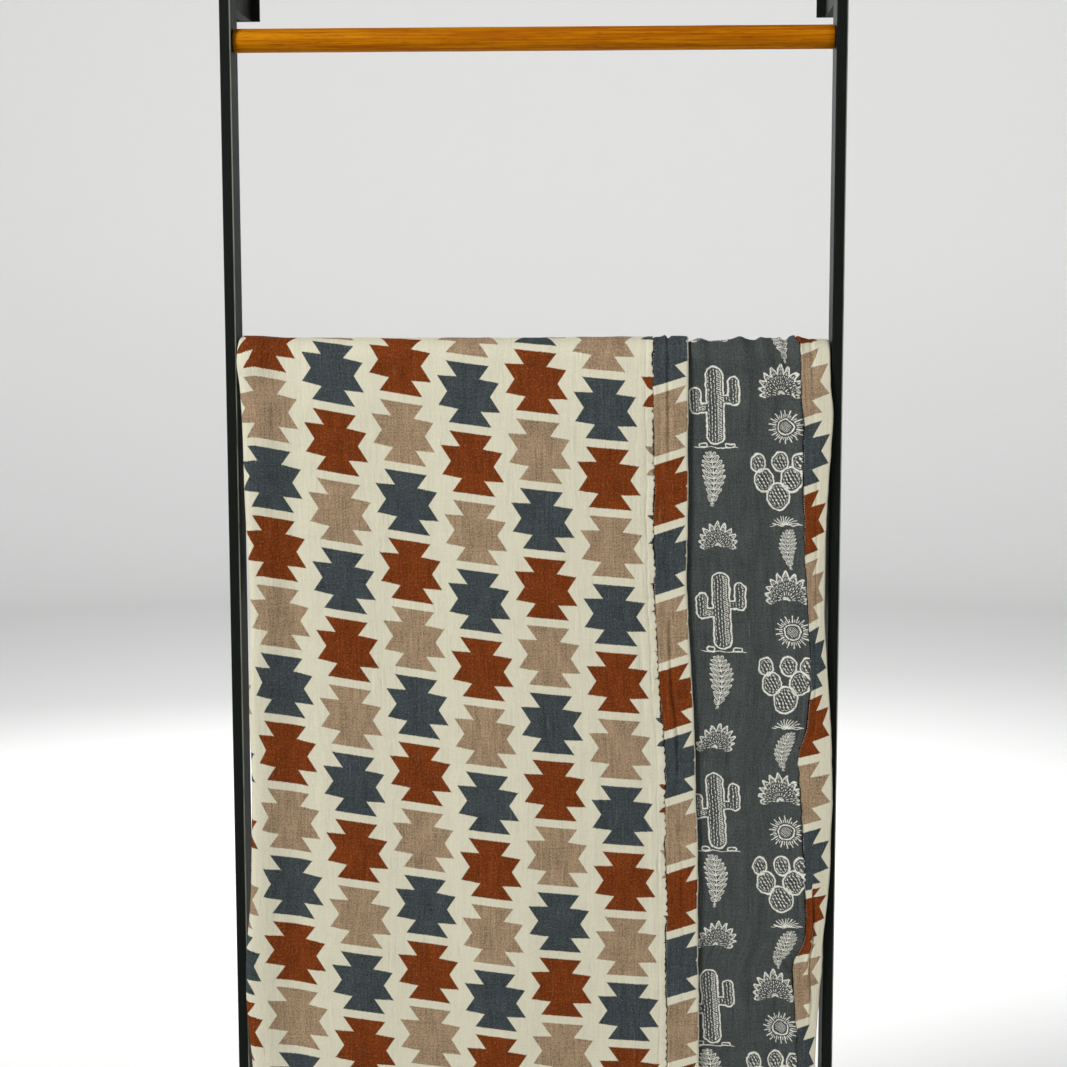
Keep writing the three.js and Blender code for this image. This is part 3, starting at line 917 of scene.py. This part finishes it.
def make_face_panel():
    across, run = np.meshgrid(PANEL_STATIONS, RUN_STATIONS)
    from_outer = across - PANEL_ACROSS[0]
    from_under = PANEL_ACROSS[1] - across
    drift = panel_drift(from_outer, from_under, run)
    placed = across + drift - seam_lip(from_outer, run, 41)
    x, _ = section_at(across, outline_at(run))
    on_outer = 1 - smooth(across, OUTER_RUN - 30, OUTER_RUN)
    hanging = smooth(run, 0, 40) + smooth(-run, BEND_RUN, BEND_RUN + 40)
    relief = seam_relief(from_outer, run, 41) * on_outer
    relief = relief + gauze_relief(across, run, x) * on_outer
    relief = relief + 0.3 * rumple(across / 14, run / 70, 24) * (1 - on_outer) * hanging
    relief = relief + np.where(from_under < 12, seam_relief(from_under, run, 45) * (0.3 + 0.7 * hanging), 0)
    relief = relief + hem_relief(run, across, 50)
    points = cloth_point(placed, run) + cloth_normal(placed, run) * (QUILT_HALF + relief)[..., None]
    fold = outline_at(run)["fold"]
    unfolded = np.where(across <= OUTER_RUN, x, fold + 7 - (across - OUTER_RUN))
    cloth_map = np.stack([across, run], -1) * MM
    print_map = print_place(*squeezed(unfolded, fold, run))
    return cloth_sheet("quilt_face", points, cloth_map, print_map, printed_muslin)


quilt_face = make_face_panel()
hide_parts("face_panel")
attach(quilt_face, "root")

# The quilt's slate panel: the same muslin, dyed slate, with a fine cream line drawing of
# desert plants over it. It is the other side of the quilt, so the fold turns it outwards
# where the under layer shows beyond the outer one.
LINE_CREAM = (0.88, 0.86, 0.76)
REVERSE_SLATE = (0.067, 0.076, 0.074)
LINE_WIDTH = 0.60


def capsule(x, y, start, end, radius):
    """The distance from a bar with round ends, standing or lying, under 0 inside it."""
    low_x, high_x = sorted((start[0], end[0]))
    low_y, high_y = sorted((start[1], end[1]))
    from_x = (x - (low_x + high_x) / 2).size() - (high_x - low_x) / 2
    from_y = (y - (low_y + high_y) / 2).size() - (high_y - low_y) / 2
    from_x = from_x.most(0.0)
    from_y = from_y.most(0.0)
    return (from_x * from_x + from_y * from_y).root() - radius


def drawn_line(distance, width=LINE_WIDTH):
    """A drawn line where the distance is near 0."""
    return 1.0 - distance.bench.ramp(distance.size(), width * 0.45, width * 1.3)


def wrapped(value, pitch):
    """The value's offset from the nearest multiple of the pitch."""
    return value - ((value / pitch + 0.5).floor()) * pitch


def dashed(value, pitch, gap):
    """Full, but for short gaps at each multiple of the pitch."""
    return value.bench.ramp(wrapped(value, pitch).size(), gap * 0.4, gap)


def draw_tall_cactus(bench, x, y):
    """A ribbed column with two raised arms, hatched on one side, with stones at its foot."""
    trunk = capsule(x, y, (0, -26), (0, 24), 7.0)
    left = capsule(x, y, (-16, -3), (-16, 9), 4.6)
    left = left.least(capsule(x, y, (-16, -3), (-3, -3), 3.8))
    right_arm = capsule(x, y, (15.5, 4), (15.5, 18), 4.4)
    right_arm = right_arm.least(capsule(x, y, (15.5, 4), (3, 4), 3.4))
    body = trunk.least(left).least(right_arm)
    inside = 1.0 - bench.ramp(body, -1.9, -1.2)
    ribs = drawn_line(wrapped(x + 0.2, 2.5), 0.34) * dashed(y + x * 0.7, 3.3, 0.8)
    shade = drawn_line(wrapped(x * 0.5 + y, 1.7), 0.3) * bench.ramp(wrapped(x + 16.0, 15.8), 1.2, 2.6)
    stones = drawn_line(capsule(x, y, (-12, -33.5), (-9, -33.5), 1.7))
    stones = stones.most(drawn_line(capsule(x, y, (9, -34), (14, -34), 1.3)))
    ground = drawn_line(y + 35.6 + bench.sum("SINE", x * 0.4) * 0.5, 0.4)
    ground = ground * bench.ramp(x.size(), 17.0, 19.0, 1.0, 0.0)
    return drawn_line(body, 0.75).most(ribs.most(shade) * inside).most(stones).most(ground)


def draw_agave(bench, x, y):
    """A fan of pointed leaves from one root."""
    y = y + 13.0
    reach = (x * x + y * y).root()
    angle = bench.sum("ARCTAN2", x, y)
    leaf = wrapped(angle, 0.33)
    count = (angle / 0.33 + 0.5).floor()
    length = 28.0 - count.size() * 1.6
    share = (reach / length).least(1.0)
    width = share * (1.0 - share) * 13.0 + (1.0 - share) * 0.6
    edge = leaf.size() * reach - width
    fan = bench.ramp(angle.size(), 1.80, 1.85, 1.0, 0.0) * bench.ramp(reach, length - 0.4, length, 1.0, 0.0)
    veins = drawn_line(leaf * reach, 0.36) * dashed(reach, 4.2, 1.0)
    sides = drawn_line(edge + width * 0.5, 0.28) * dashed(reach + 1.6, 3.1, 1.1)
    return drawn_line(edge, 0.7).most(veins).most(sides) * fan


def draw_sprig(bench, x, y):
    """A bowed stem with leaves in pairs."""
    x = x - y * y * 0.004
    stem = drawn_line(x, 0.5) * bench.ramp(y.size(), 29.0, 30.0, 1.0, 0.0)
    pair = wrapped(y - x.size() * 0.75, 6.2)
    tier = (y - x.size() * 0.75 - pair)
    reach = 13.5 - (tier.size() * tier.size()) * 0.012
    share = (x.size() / reach).least(1.0)
    edge = pair.size() - share * (1.0 - share) * 9.6
    within = bench.ramp(x.size(), reach - 0.5, reach, 1.0, 0.0) * bench.ramp(y.size(), 31.0, 32.0, 1.0, 0.0)
    veins = drawn_line(pair, 0.3).most(drawn_line(edge + 1.1, 0.24) * dashed(x.size(), 2.3, 0.9))
    return stem.most(drawn_line(edge) * within).most(veins * within)


def draw_pads(bench, x, y):
    """A prickly pear: round pads on each other, with spines in rows."""
    pads = (
        (0, -12, 9.5, 11.5), (-12, 2, 8, 10), (11, 3, 8.5, 10.5),
        (-17, 17, 6, 8), (2, 18, 6.5, 8.5), (18, 18, 6, 7.5),
    )
    body = None
    outline = None
    for middle_x, middle_y, half_x, half_y in pads:
        from_x = (x - middle_x) / half_x
        from_y = (y - middle_y) / half_y
        pad = ((from_x * from_x + from_y * from_y).root() - 1.0) * min(half_x, half_y)
        line = drawn_line(pad, 0.75).most(drawn_line(pad + 1.9, 0.3) * dashed(x + y, 2.9, 1.0))
        body = pad if body is None else body.least(pad)
        outline = line if outline is None else outline.most(line)
    spine_x = wrapped(x + y * 0.5, 3.1)
    spine_y = wrapped(y, 3.0)
    spines = 1.0 - bench.ramp((spine_x.size() + spine_y.size() * 0.5), 0.5, 0.95)
    return outline.most(spines * (1.0 - bench.ramp(body, -2.8, -2.0)))


def draw_sun(bench, x, y):
    """A ring with long and short rays."""
    reach = (x * x + y * y).root()
    angle = bench.sum("ARCTAN2", x, y)
    ray = wrapped(angle, math.pi / 9)
    short = wrapped(angle + math.pi / 18, math.pi / 9)
    long_rays = drawn_line(ray * reach, 0.55) * bench.ramp((reach - 12.4).size(), 3.2, 3.6, 1.0, 0.0)
    short_rays = drawn_line(short * reach, 0.4) * bench.ramp((reach - 10.9).size(), 1.3, 1.6, 1.0, 0.0)
    hatch = drawn_line(wrapped(x + y, 1.9), 0.35) * (1.0 - bench.ramp(reach, 4.8, 5.4))
    return drawn_line(reach - 7.2, 0.7).most(long_rays).most(short_rays).most(hatch)


def draw_tuft(bench, x, y):
    """A few blades of grass and the ground under them."""
    y = y + 4.0
    reach = (x * x * 0.5 + y * y).root()
    blade = wrapped(bench.sum("ARCTAN2", x, y) + reach * 0.02, 0.32)
    blades = drawn_line(blade * reach, 0.42) * bench.ramp(reach, 9.2, 9.8, 1.0, 0.0) * y.over(0.0)
    ground = drawn_line(y + bench.sum("SINE", x * 0.55) * 0.7, 0.42)
    ground = ground * bench.ramp(x.size(), 15.0, 16.0, 1.0, 0.0)
    return blades.most(ground)


# Each drawing's place in the repeat of the line print, its scale and which way it faces
LINE_START = -1
LINE_REPEAT = (148, 222)
LINE_DRAWINGS = (
    (draw_tall_cactus, -37, 62, 1.30, 1),
    (draw_agave, 33, 88, 1.15, 1),
    (draw_sun, 37, 38, 1.15, 1),
    (draw_pads, 28, -22, 1.25, 1),
    (draw_tuft, 34, -64, 1.05, -1),
    (draw_sprig, -40, -18, 0.95, -1),
    (draw_agave, -38, -78, 1.0, -1),
    (draw_sprig, 36, -94, 0.70, 1),
)


def finish_slate_muslin():
    slate, bench, shader = new_material("slate_muslin")
    cloth = bench.node("ShaderNodeUVMap", uv_map="cloth").outputs[0]
    weave = bench.group(muslin_weave, Cloth=cloth, Slub=0.85, Crinkle=0.75)
    across, run, _ = bench.parts(cloth)
    shake = bench.noise(cloth, (130, 130, 1), detail=2)
    shake_down = bench.noise(cloth, (120, 150, 1), detail=2)
    column = ((across * 1000.0 - LINE_START) / LINE_REPEAT[0] + 0.5).floor()
    shift = (column - (column * 0.5).floor() * 2.0) * (LINE_REPEAT[1] / 2)
    x = wrapped(across * 1000.0 - LINE_START, LINE_REPEAT[0]) + (shake - 0.5) * 4.0
    y = wrapped(run * -1000.0 + shift, LINE_REPEAT[1]) + (shake_down - 0.5) * 4.0
    lines = None
    for draw, place_x, place_y, scale, facing in LINE_DRAWINGS:
        local_x = (wrapped(x - place_x, LINE_REPEAT[0])) * (facing / scale)
        local_y = (wrapped(y - place_y, LINE_REPEAT[1])) / scale
        drawing = draw(bench, local_x, local_y)
        lines = drawing if lines is None else lines.most(drawing)
    worn = bench.ramp(bench.noise(cloth, (640, 640, 1), detail=2), 0.24, 0.46)
    lines = lines * worn
    bare = Term(bench, weave.outputs["Bare"]) * 0.035
    colour = bench.mix(bare, REVERSE_SLATE, CREAM)
    colour = bench.mix(Term(bench, weave.outputs["Drawn"]) * 0.12, colour, DRAWN_THREAD)
    tone = weave.outputs["Tone"]
    colour = bench.mix(1.0, colour, bench.joined(tone, tone, tone), "MULTIPLY")
    colour = bench.mix(lines * 0.95, colour, LINE_CREAM)
    height = weave.outputs["Height"]
    fill_shader(bench, shader, colour, 0.94 - lines * 0.04, height, CLOTH_BUMP, CLOTH_SPECULAR)
    return slate


slate_muslin = finish_slate_muslin()

# Main creases of the slate panel where it shows: x, top and bottom run, lean, half width and rise
SLATE_CREASES = (
    (203, -30, 260, 0.02, 4.0, 1.0),
    (232, -30, 150, -0.02, 6.0, 1.2),
    (176, -50, 24, 0.1, 7.0, 2.8),
    (221, -50, 30, 0.15, 7.0, 3.2),
    (243, -50, 24, 0.1, 4.0, 2.4),
    (266, -50, 16, 0, 2.6, 2.4),
    (274, -50, 60, 0.25, 4.5, 3.0),
    (260, -22, 24, 0.08, 1.9, -2.2),
    (262, 6, 60, 0.45, 2.1, -2.4),
    (212, 6, 50, 1.9, 8.5, -3.0),
    (226, 30, 72, 1.5, 8.0, 2.6),
    (252, 150, 420, 0.03, 4.5, 1.2),
    (214, 220, 640, 0.01, 4.4, -1.0),
    (240, 300, 400, 0.35, 6.0, -1.1),
    (268, 380, 640, 0.02, 4.0, 1.3),
    (263, 644, 716, 0.66, 2.6, -3.6),
    (254, 638, 724, 0.66, 5.5, 3.4),
    (272, 640, 704, 0.55, 4.0, 2.0),
    (268, 690, 797, 0.05, 5.0, -2.2),
    (232, 520, 797, 0.02, 5.0, 1.1),
)


def make_reverse_panel():
    stations = uneven_stations(
        (PANEL_ACROSS[0], BINDING_WIDTH + 12, 3),
        (BINDING_WIDTH + 12, OUTER_RUN, 12),
        (OUTER_RUN, UNDER_START, 1.8),
        (UNDER_START, UNDER_START + 440, 12),
        (UNDER_START + 440, PANEL_ACROSS[1] - 16, 1.7),
        (PANEL_ACROSS[1] - 16, PANEL_ACROSS[1] - 6, 1.4),
        (PANEL_ACROSS[1] - 6, PANEL_ACROSS[1], 0.6),
    )
    across, run = np.meshgrid(stations, RUN_STATIONS)
    from_outer = across - PANEL_ACROSS[0]
    from_under = PANEL_ACROSS[1] - across
    drift = panel_drift(from_outer, from_under, run)
    placed = across + drift + seam_lip(from_under, run, 65)
    edges = outline_at(run)
    x, _ = section_at(across, edges)
    shows = smooth(x, edges["outer_edge"] - 6, edges["outer_edge"] + 8) * (across > UNDER_START)
    relief = 0.8 * rumple(across / 9, run / 60, 61) + 0.32 * rumple(across / 5, run / 30, 62)
    relief = relief + 0.55 * rumple(across / 34, run / 11, 63)
    for crease_x, top, bottom, lean, width, rise in SLATE_CREASES:
        wander = 2.5 * rumple(run / 45, run * 0, int(crease_x) + 700)
        length = bottom - top
        fade = lasting(run, top, top + 0.2 * length, bottom - 0.35 * length, bottom)
        aside = x - crease_x - lean * np.maximum(run - top, 0) - wander
        relief = relief + rise * fade * bell(aside / width)
    relief = relief * shows
    relief = relief + seam_relief(from_under, run, 65) * shows
    relief = relief + np.where(from_outer < 12, np.minimum(seam_relief(from_outer, run, 68), 0), 0)
    relief = relief + np.minimum(hem_relief(run, across, 70), 0.3)
    points = cloth_point(placed, run) - cloth_normal(placed, run) * (QUILT_HALF + relief)[..., None]
    cloth_map = np.stack([across, run], -1) * MM
    made = cloth_sheet("quilt_reverse", points, cloth_map, cloth_map, slate_muslin)
    made.data.flip_normals()
    return made


quilt_reverse = make_reverse_panel()
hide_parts("reverse_panel")
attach(quilt_reverse, "root")

# The bindings: strips of the printed muslin, folded round the quilt's four edges and sewn
# through all the plies with a running stitch. The outer layer's strip was cut with the
# print turned round, so its colours follow each other the other way.
STRIP_NOSE = 2.6
STRIP_CROWN = 0.55
STRIP_LEAST_HALF = 0.35
STRIP_ROW_STEP = 2.0
OUTER_STRIP_ROW = 218.9
OUTER_STRIP_ROW_PITCH = 75.0
OUTER_STRIP_SLOPE = 0.33
OUTER_STRIP_EDGE_COLUMN = 1.35
UNDER_STRIP_ROW = 24.4
UNDER_STRIP_ROW_PITCH = 74.1
UNDER_STRIP_SLOPE = 0.28
UNDER_STRIP_EDGE_COLUMN = 1.49
# Soft creases along the two side strips: distance from the free edge, top and bottom run, half width, depth
OUTER_STRIP_CREASES = (
    (19, -50, 115, 1.6, -3.0), (23.5, -50, 115, 2.8, 1.3),
    (20.5, 285, 460, 1.6, -3.0), (25, 285, 460, 2.8, 1.3),
    (17, 500, 720, 2.2, -1.0),
)
UNDER_STRIP_CREASES = (
    (22, -20, 70, 2.0, -1.4), (15, 120, 290, 2.0, -1.2), (26, 300, 430, 2.0, -1.2),
)
# The under strip's pleat: its runs, where it lies from the free edge at its two ends, how much cloth
# it takes up, how far its rounded edge stands up, and how deep the strip lies beside it
PLEAT_RUNS = (560, 600, 690, 745)
PLEAT_EDGE = ((580, 25), (640, 20), (705, 12.5))
PLEAT_TAKE_UP = 18
PLEAT_RISE = 2.6
PLEAT_DEPTH = 1.6

# From the seam on one side, round the free edge, to the seam on the other: distance from that edge
STRIP_SIDE = np.concatenate([
    np.linspace(BINDING_WIDTH + 0.4, BINDING_WIDTH - 5, 7),
    np.linspace(BINDING_WIDTH - 6.5, 4, 23),
    [STRIP_NOSE * share for share in (1, 0.7, 0.42, 0.2, 0.06)],
])
STRIP_ROUND = np.concatenate([STRIP_SIDE, [0], -STRIP_SIDE[::-1]])


def strip_half(distance):
    """Half the bound edge's thickness: round at the free edge, crowned between, drawn down at the seam."""
    nose = np.sqrt(np.clip(1 - (1 - np.clip(distance / STRIP_NOSE, 0, 1)) ** 2, 0, 1))
    crown = STRIP_CROWN * np.sin(math.pi * np.clip(distance / BINDING_WIDTH, 0, 1))
    drawn = SEAM_DEPTH * (1 - smooth(BINDING_WIDTH - distance, -0.4, 4.4))
    return BINDING_HALF * nose + crown - drawn


def strip_relief(distance, along, creases, seed):
    """Puckers that start at the seam, a little crinkle, and the strip's own long creases."""
    from_seam = np.maximum(BINDING_WIDTH - distance, 0)
    pucker = 0.8 * rumple(along / 8, distance / 30, seed) * np.exp(-from_seam / 13) * smooth(from_seam, 0, 4)
    edge = 0.35 * rumple(along / 13, distance / 20, seed + 1) * smooth(distance, 1, 6)
    relief = pucker + edge
    swell = seam_scallop(along, seed + 3) * (0.8 + 0.4 * rumple(along / 17, along * 0, seed + 9))
    relief = relief + 0.8 * swell * bell((from_seam - 3.4) / 1.7)
    for middle, top, bottom, width, depth in creases:
        wander = 1.5 * rumple(along / 40, along * 0, seed + int(middle))
        uneven = 1 + 0.5 * rumple(along / 7, along * 0, seed + int(middle) + 40)
        fade = lasting(along, top - 20, top + 20, bottom - 30, bottom + 10)
        relief = relief + depth * uneven * fade * bell((distance - middle - wander) / width)
    return relief


def make_side_strip(name, on_outer, drift_seed, creases, seed):
    """A binding down one side. Its free edge is the outer or the under layer's."""
    runs = uneven_stations((BACK_HEM, -BEND_RUN, 3.6), (-BEND_RUN, 0, 2.1), (0, FRONT_DROP, STRIP_ROW_STEP))
    around, run = np.meshgrid(STRIP_ROUND, runs)
    distance = np.abs(around)
    side = np.where(around > 0, 1.0, -1.0)
    side[:, len(STRIP_SIDE)] = 0
    ends = smooth(np.minimum(run - BACK_HEM, FRONT_DROP - run), 0, STRIP_NOSE)
    drift = seam_drift(run, drift_seed) * smooth(distance, 20, BINDING_WIDTH)
    edge_drift = 0.7 * rumple(run / 47, run * 0, seed + 5) + 0.35 * rumple(run / 9.5, run * 0, seed + 6)
    inward = distance - edge_drift * (1 - smooth(distance, 0, 12))
    across = inward + drift if on_outer else CLOTH_WIDTH - inward + drift
    relief = strip_relief(distance, run, creases, seed)
    if not on_outer:
        pleated = lasting(run, *PLEAT_RUNS)
        pleat_edge = np.interp(run, *zip(*PLEAT_EDGE))
        relief = relief + PLEAT_RISE * pleated * bell((distance - pleat_edge - 2.4) / 2.4)
        relief = relief - PLEAT_DEPTH * pleated * bell((distance - pleat_edge + 1.2) / 1.6)
    half = strip_half(distance) + relief * smooth(distance, 1, 5)
    half = np.maximum(half, STRIP_LEAST_HALF * smooth(distance, 0, 3))
    hanging = smooth(run, -4, 40) + smooth(-run, BEND_RUN, BEND_RUN + 40)
    inner_side = side < 0 if on_outer else side > 0
    half = np.where(inner_side, np.minimum(half, BINDING_HALF + 0.5 * hanging), half)
    offset = side * half * (0.25 + 0.75 * ends)
    points = cloth_point(across, run) + cloth_normal(across, run) * offset[..., None]
    cloth_map = np.stack([around, run], -1) * MM
    if on_outer:
        column = OUTER_STRIP_EDGE_COLUMN - around / COLUMN_PITCH
        row = 2 - (run - OUTER_STRIP_ROW + OUTER_STRIP_SLOPE * (25 - around)) / OUTER_STRIP_ROW_PITCH
    else:
        column = UNDER_STRIP_EDGE_COLUMN + around / COLUMN_PITCH
        taken_up = PLEAT_TAKE_UP * pleated * (1 - smooth(distance - pleat_edge, -0.6, 0.6))
        level = run + taken_up - UNDER_STRIP_ROW + UNDER_STRIP_SLOPE * (13 + around)
        row = 1 + level / UNDER_STRIP_ROW_PITCH
    made = cloth_sheet(name, points, cloth_map, np.stack([column, row], -1), bound_muslin)
    if on_outer:
        made.data.flip_normals()
    return made


def make_hem_strip(name, free_run, inward_sign, seed):
    """A binding along a hem, from the outer seam round the fold to the under seam."""
    stations = uneven_stations(
        (PANEL_ACROSS[0] - 1, OUTER_RUN, 3),
        (OUTER_RUN, UNDER_START, 1.4),
        (UNDER_START, PANEL_ACROSS[1] + 1, 3.4),
    )
    around, across = np.meshgrid(STRIP_ROUND, stations)
    distance = np.abs(around)
    side = np.where(around > 0, 1.0, -1.0)
    side[:, len(STRIP_SIDE)] = 0
    run = free_run + inward_sign * distance
    half = strip_half(distance) + strip_relief(distance, across, (), seed) * 0.5
    half = np.minimum(half, BINDING_HALF + 0.5)
    points = cloth_point(across, run) + cloth_normal(across, run) * (side * half)[..., None]
    cloth_map = np.stack([around, across], -1) * MM
    repeat = np.stack([0.3 + around / COLUMN_PITCH, across / ROW_PITCH], -1)
    made = cloth_sheet(name, points, cloth_map, repeat, bound_muslin)
    if inward_sign < 0:
        made.data.flip_normals()
    return made


bound_muslin = finish_printed_muslin("bound_muslin", 0.4, seam_at=BINDING_WIDTH)
outer_strip = make_side_strip("binding_strip_outer", True, OUTER_SEAM_SEED, OUTER_STRIP_CREASES, 81)
under_strip = make_side_strip("binding_strip_under", False, UNDER_SEAM_SEED, UNDER_STRIP_CREASES, 91)
front_strip = make_hem_strip("binding_strip_front_hem", FRONT_DROP, -1, 101)
back_strip = make_hem_strip("binding_strip_back_hem", BACK_HEM, 1, 111)
HEM_LENGTH = (CLOTH_WIDTH - 2 * BINDING_WIDTH) * MM
STRIPS = (
    (outer_strip, "binding_outer_edge", CLOTH_LENGTH * MM),
    (under_strip, "binding_under_edge", CLOTH_LENGTH * MM),
    (front_strip, "binding_front_hem", HEM_LENGTH),
    (back_strip, "binding_back_hem", HEM_LENGTH),
)
for strip, node, length in STRIPS:
    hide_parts(node)
    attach(strip, "root")

# The stitching: a running stitch of cream cotton along each binding's seam, on both sides
# of the quilt. Each stitch is a short thread that comes up, lies on the strip and goes down.
STITCH_PITCH = 2.6
STITCH_LENGTH = 1.7
STITCH_RADIUS = 0.27
STITCH_RISE = 0.22
STITCH_SINK = 0.05
STITCH_LINE = BINDING_WIDTH - 1.7
THREAD_CREAM = (0.84, 0.81, 0.72)
THREAD_SHADE = (0.68, 0.63, 0.52)
TWIST_BUMP = (0.5, 0.0002)
STITCH_SIDES = 5
STITCH_RINGS = (-0.5, -0.36, 0, 0.36, 0.5)


def stitch_mesh(name, centres, alongs, normals):
    """One mesh of short bowed threads, each given by its middle, its direction and the cloth's normal."""
    points = []
    faces = []
    sideways = np.cross(normals, alongs)
    for centre, along, normal, aside in zip(centres, alongs, normals, sideways):
        first = len(points)
        for ring, share in enumerate(STITCH_RINGS):
            height = STITCH_RISE * (1 - (2 * share) ** 2) - 0.12
            middle = centre + along * (share * STITCH_LENGTH) + normal * height
            radius = STITCH_RADIUS * (1 - 0.55 * abs(2 * share) ** 3)
            for i in range(STITCH_SIDES):
                angle = 2 * math.pi * i / STITCH_SIDES
                points.append(middle + radius * (math.cos(angle) * aside + math.sin(angle) * normal))
                if ring:
                    a = first + (ring - 1) * STITCH_SIDES + i
                    b = first + (ring - 1) * STITCH_SIDES + (i + 1) % STITCH_SIDES
                    faces.append((a, b, b + STITCH_SIDES, a + STITCH_SIDES))
        faces.append(tuple(range(first + STITCH_SIDES - 1, first - 1, -1)))
        faces.append(tuple(range(len(points) - STITCH_SIDES, len(points))))
    return mesh_object(name, np.array(points) * MM, faces)


def finish_thread():
    thread, bench, shader = new_material("cream_thread")
    place = bench.node("ShaderNodeTexCoord").outputs["Object"]
    twist = bench.noise(place, (2600, 2600, 1500), detail=2)
    colour = bench.mix(bench.ramp(twist, 0.3, 0.7), THREAD_CREAM, THREAD_SHADE)
    fill_shader(bench, shader, colour, 0.72 + twist * 0.2, twist, TWIST_BUMP)
    return thread


def sew_row(name, across, runs, step_across, step_run):
    """Stitches on both sides of the quilt, each lying along the given step over the cloth."""
    normal = cloth_normal(across, runs)
    ahead = cloth_point(across + step_across, runs + step_run)
    along = ahead - cloth_point(across - step_across, runs - step_run)
    along = along / np.linalg.norm(along, axis=-1, keepdims=True)
    rise = (strip_half(np.array(STITCH_LINE)) - STITCH_SINK) * normal
    centre = cloth_point(across, runs)
    both = [(centre + side * rise, along, side * normal) for side in (1, -1)]
    return stitch_mesh(name, *(np.concatenate(parts) for parts in zip(*both)))


def sew_side(name, on_outer, drift_seed):
    runs = np.arange(BACK_HEM + 3, FRONT_DROP - 3, STITCH_PITCH)
    runs = runs + 0.35 * rumple(runs / 4, runs * 0, drift_seed + 200)
    base = STITCH_LINE if on_outer else CLOTH_WIDTH - STITCH_LINE
    return sew_row(name, base + seam_drift(runs, drift_seed) * 0.95, runs, 0, 0.5)


def sew_hem(name, free_run, inward_sign):
    across = np.arange(PANEL_ACROSS[0] + 2, PANEL_ACROSS[1] - 2, STITCH_PITCH)
    return sew_row(name, across, across * 0 + free_run + inward_sign * STITCH_LINE, 0.5, 0)


cream_thread = finish_thread()
SEWN = (
    sew_side("stitches_outer_edge", True, OUTER_SEAM_SEED),
    sew_side("stitches_under_edge", False, UNDER_SEAM_SEED),
    sew_hem("stitches_front_hem", FRONT_DROP, -1),
    sew_hem("stitches_back_hem", BACK_HEM, 1),
)
for stitches in SEWN:
    stitches.data.materials.append(cream_thread)
    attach(stitches, "root")
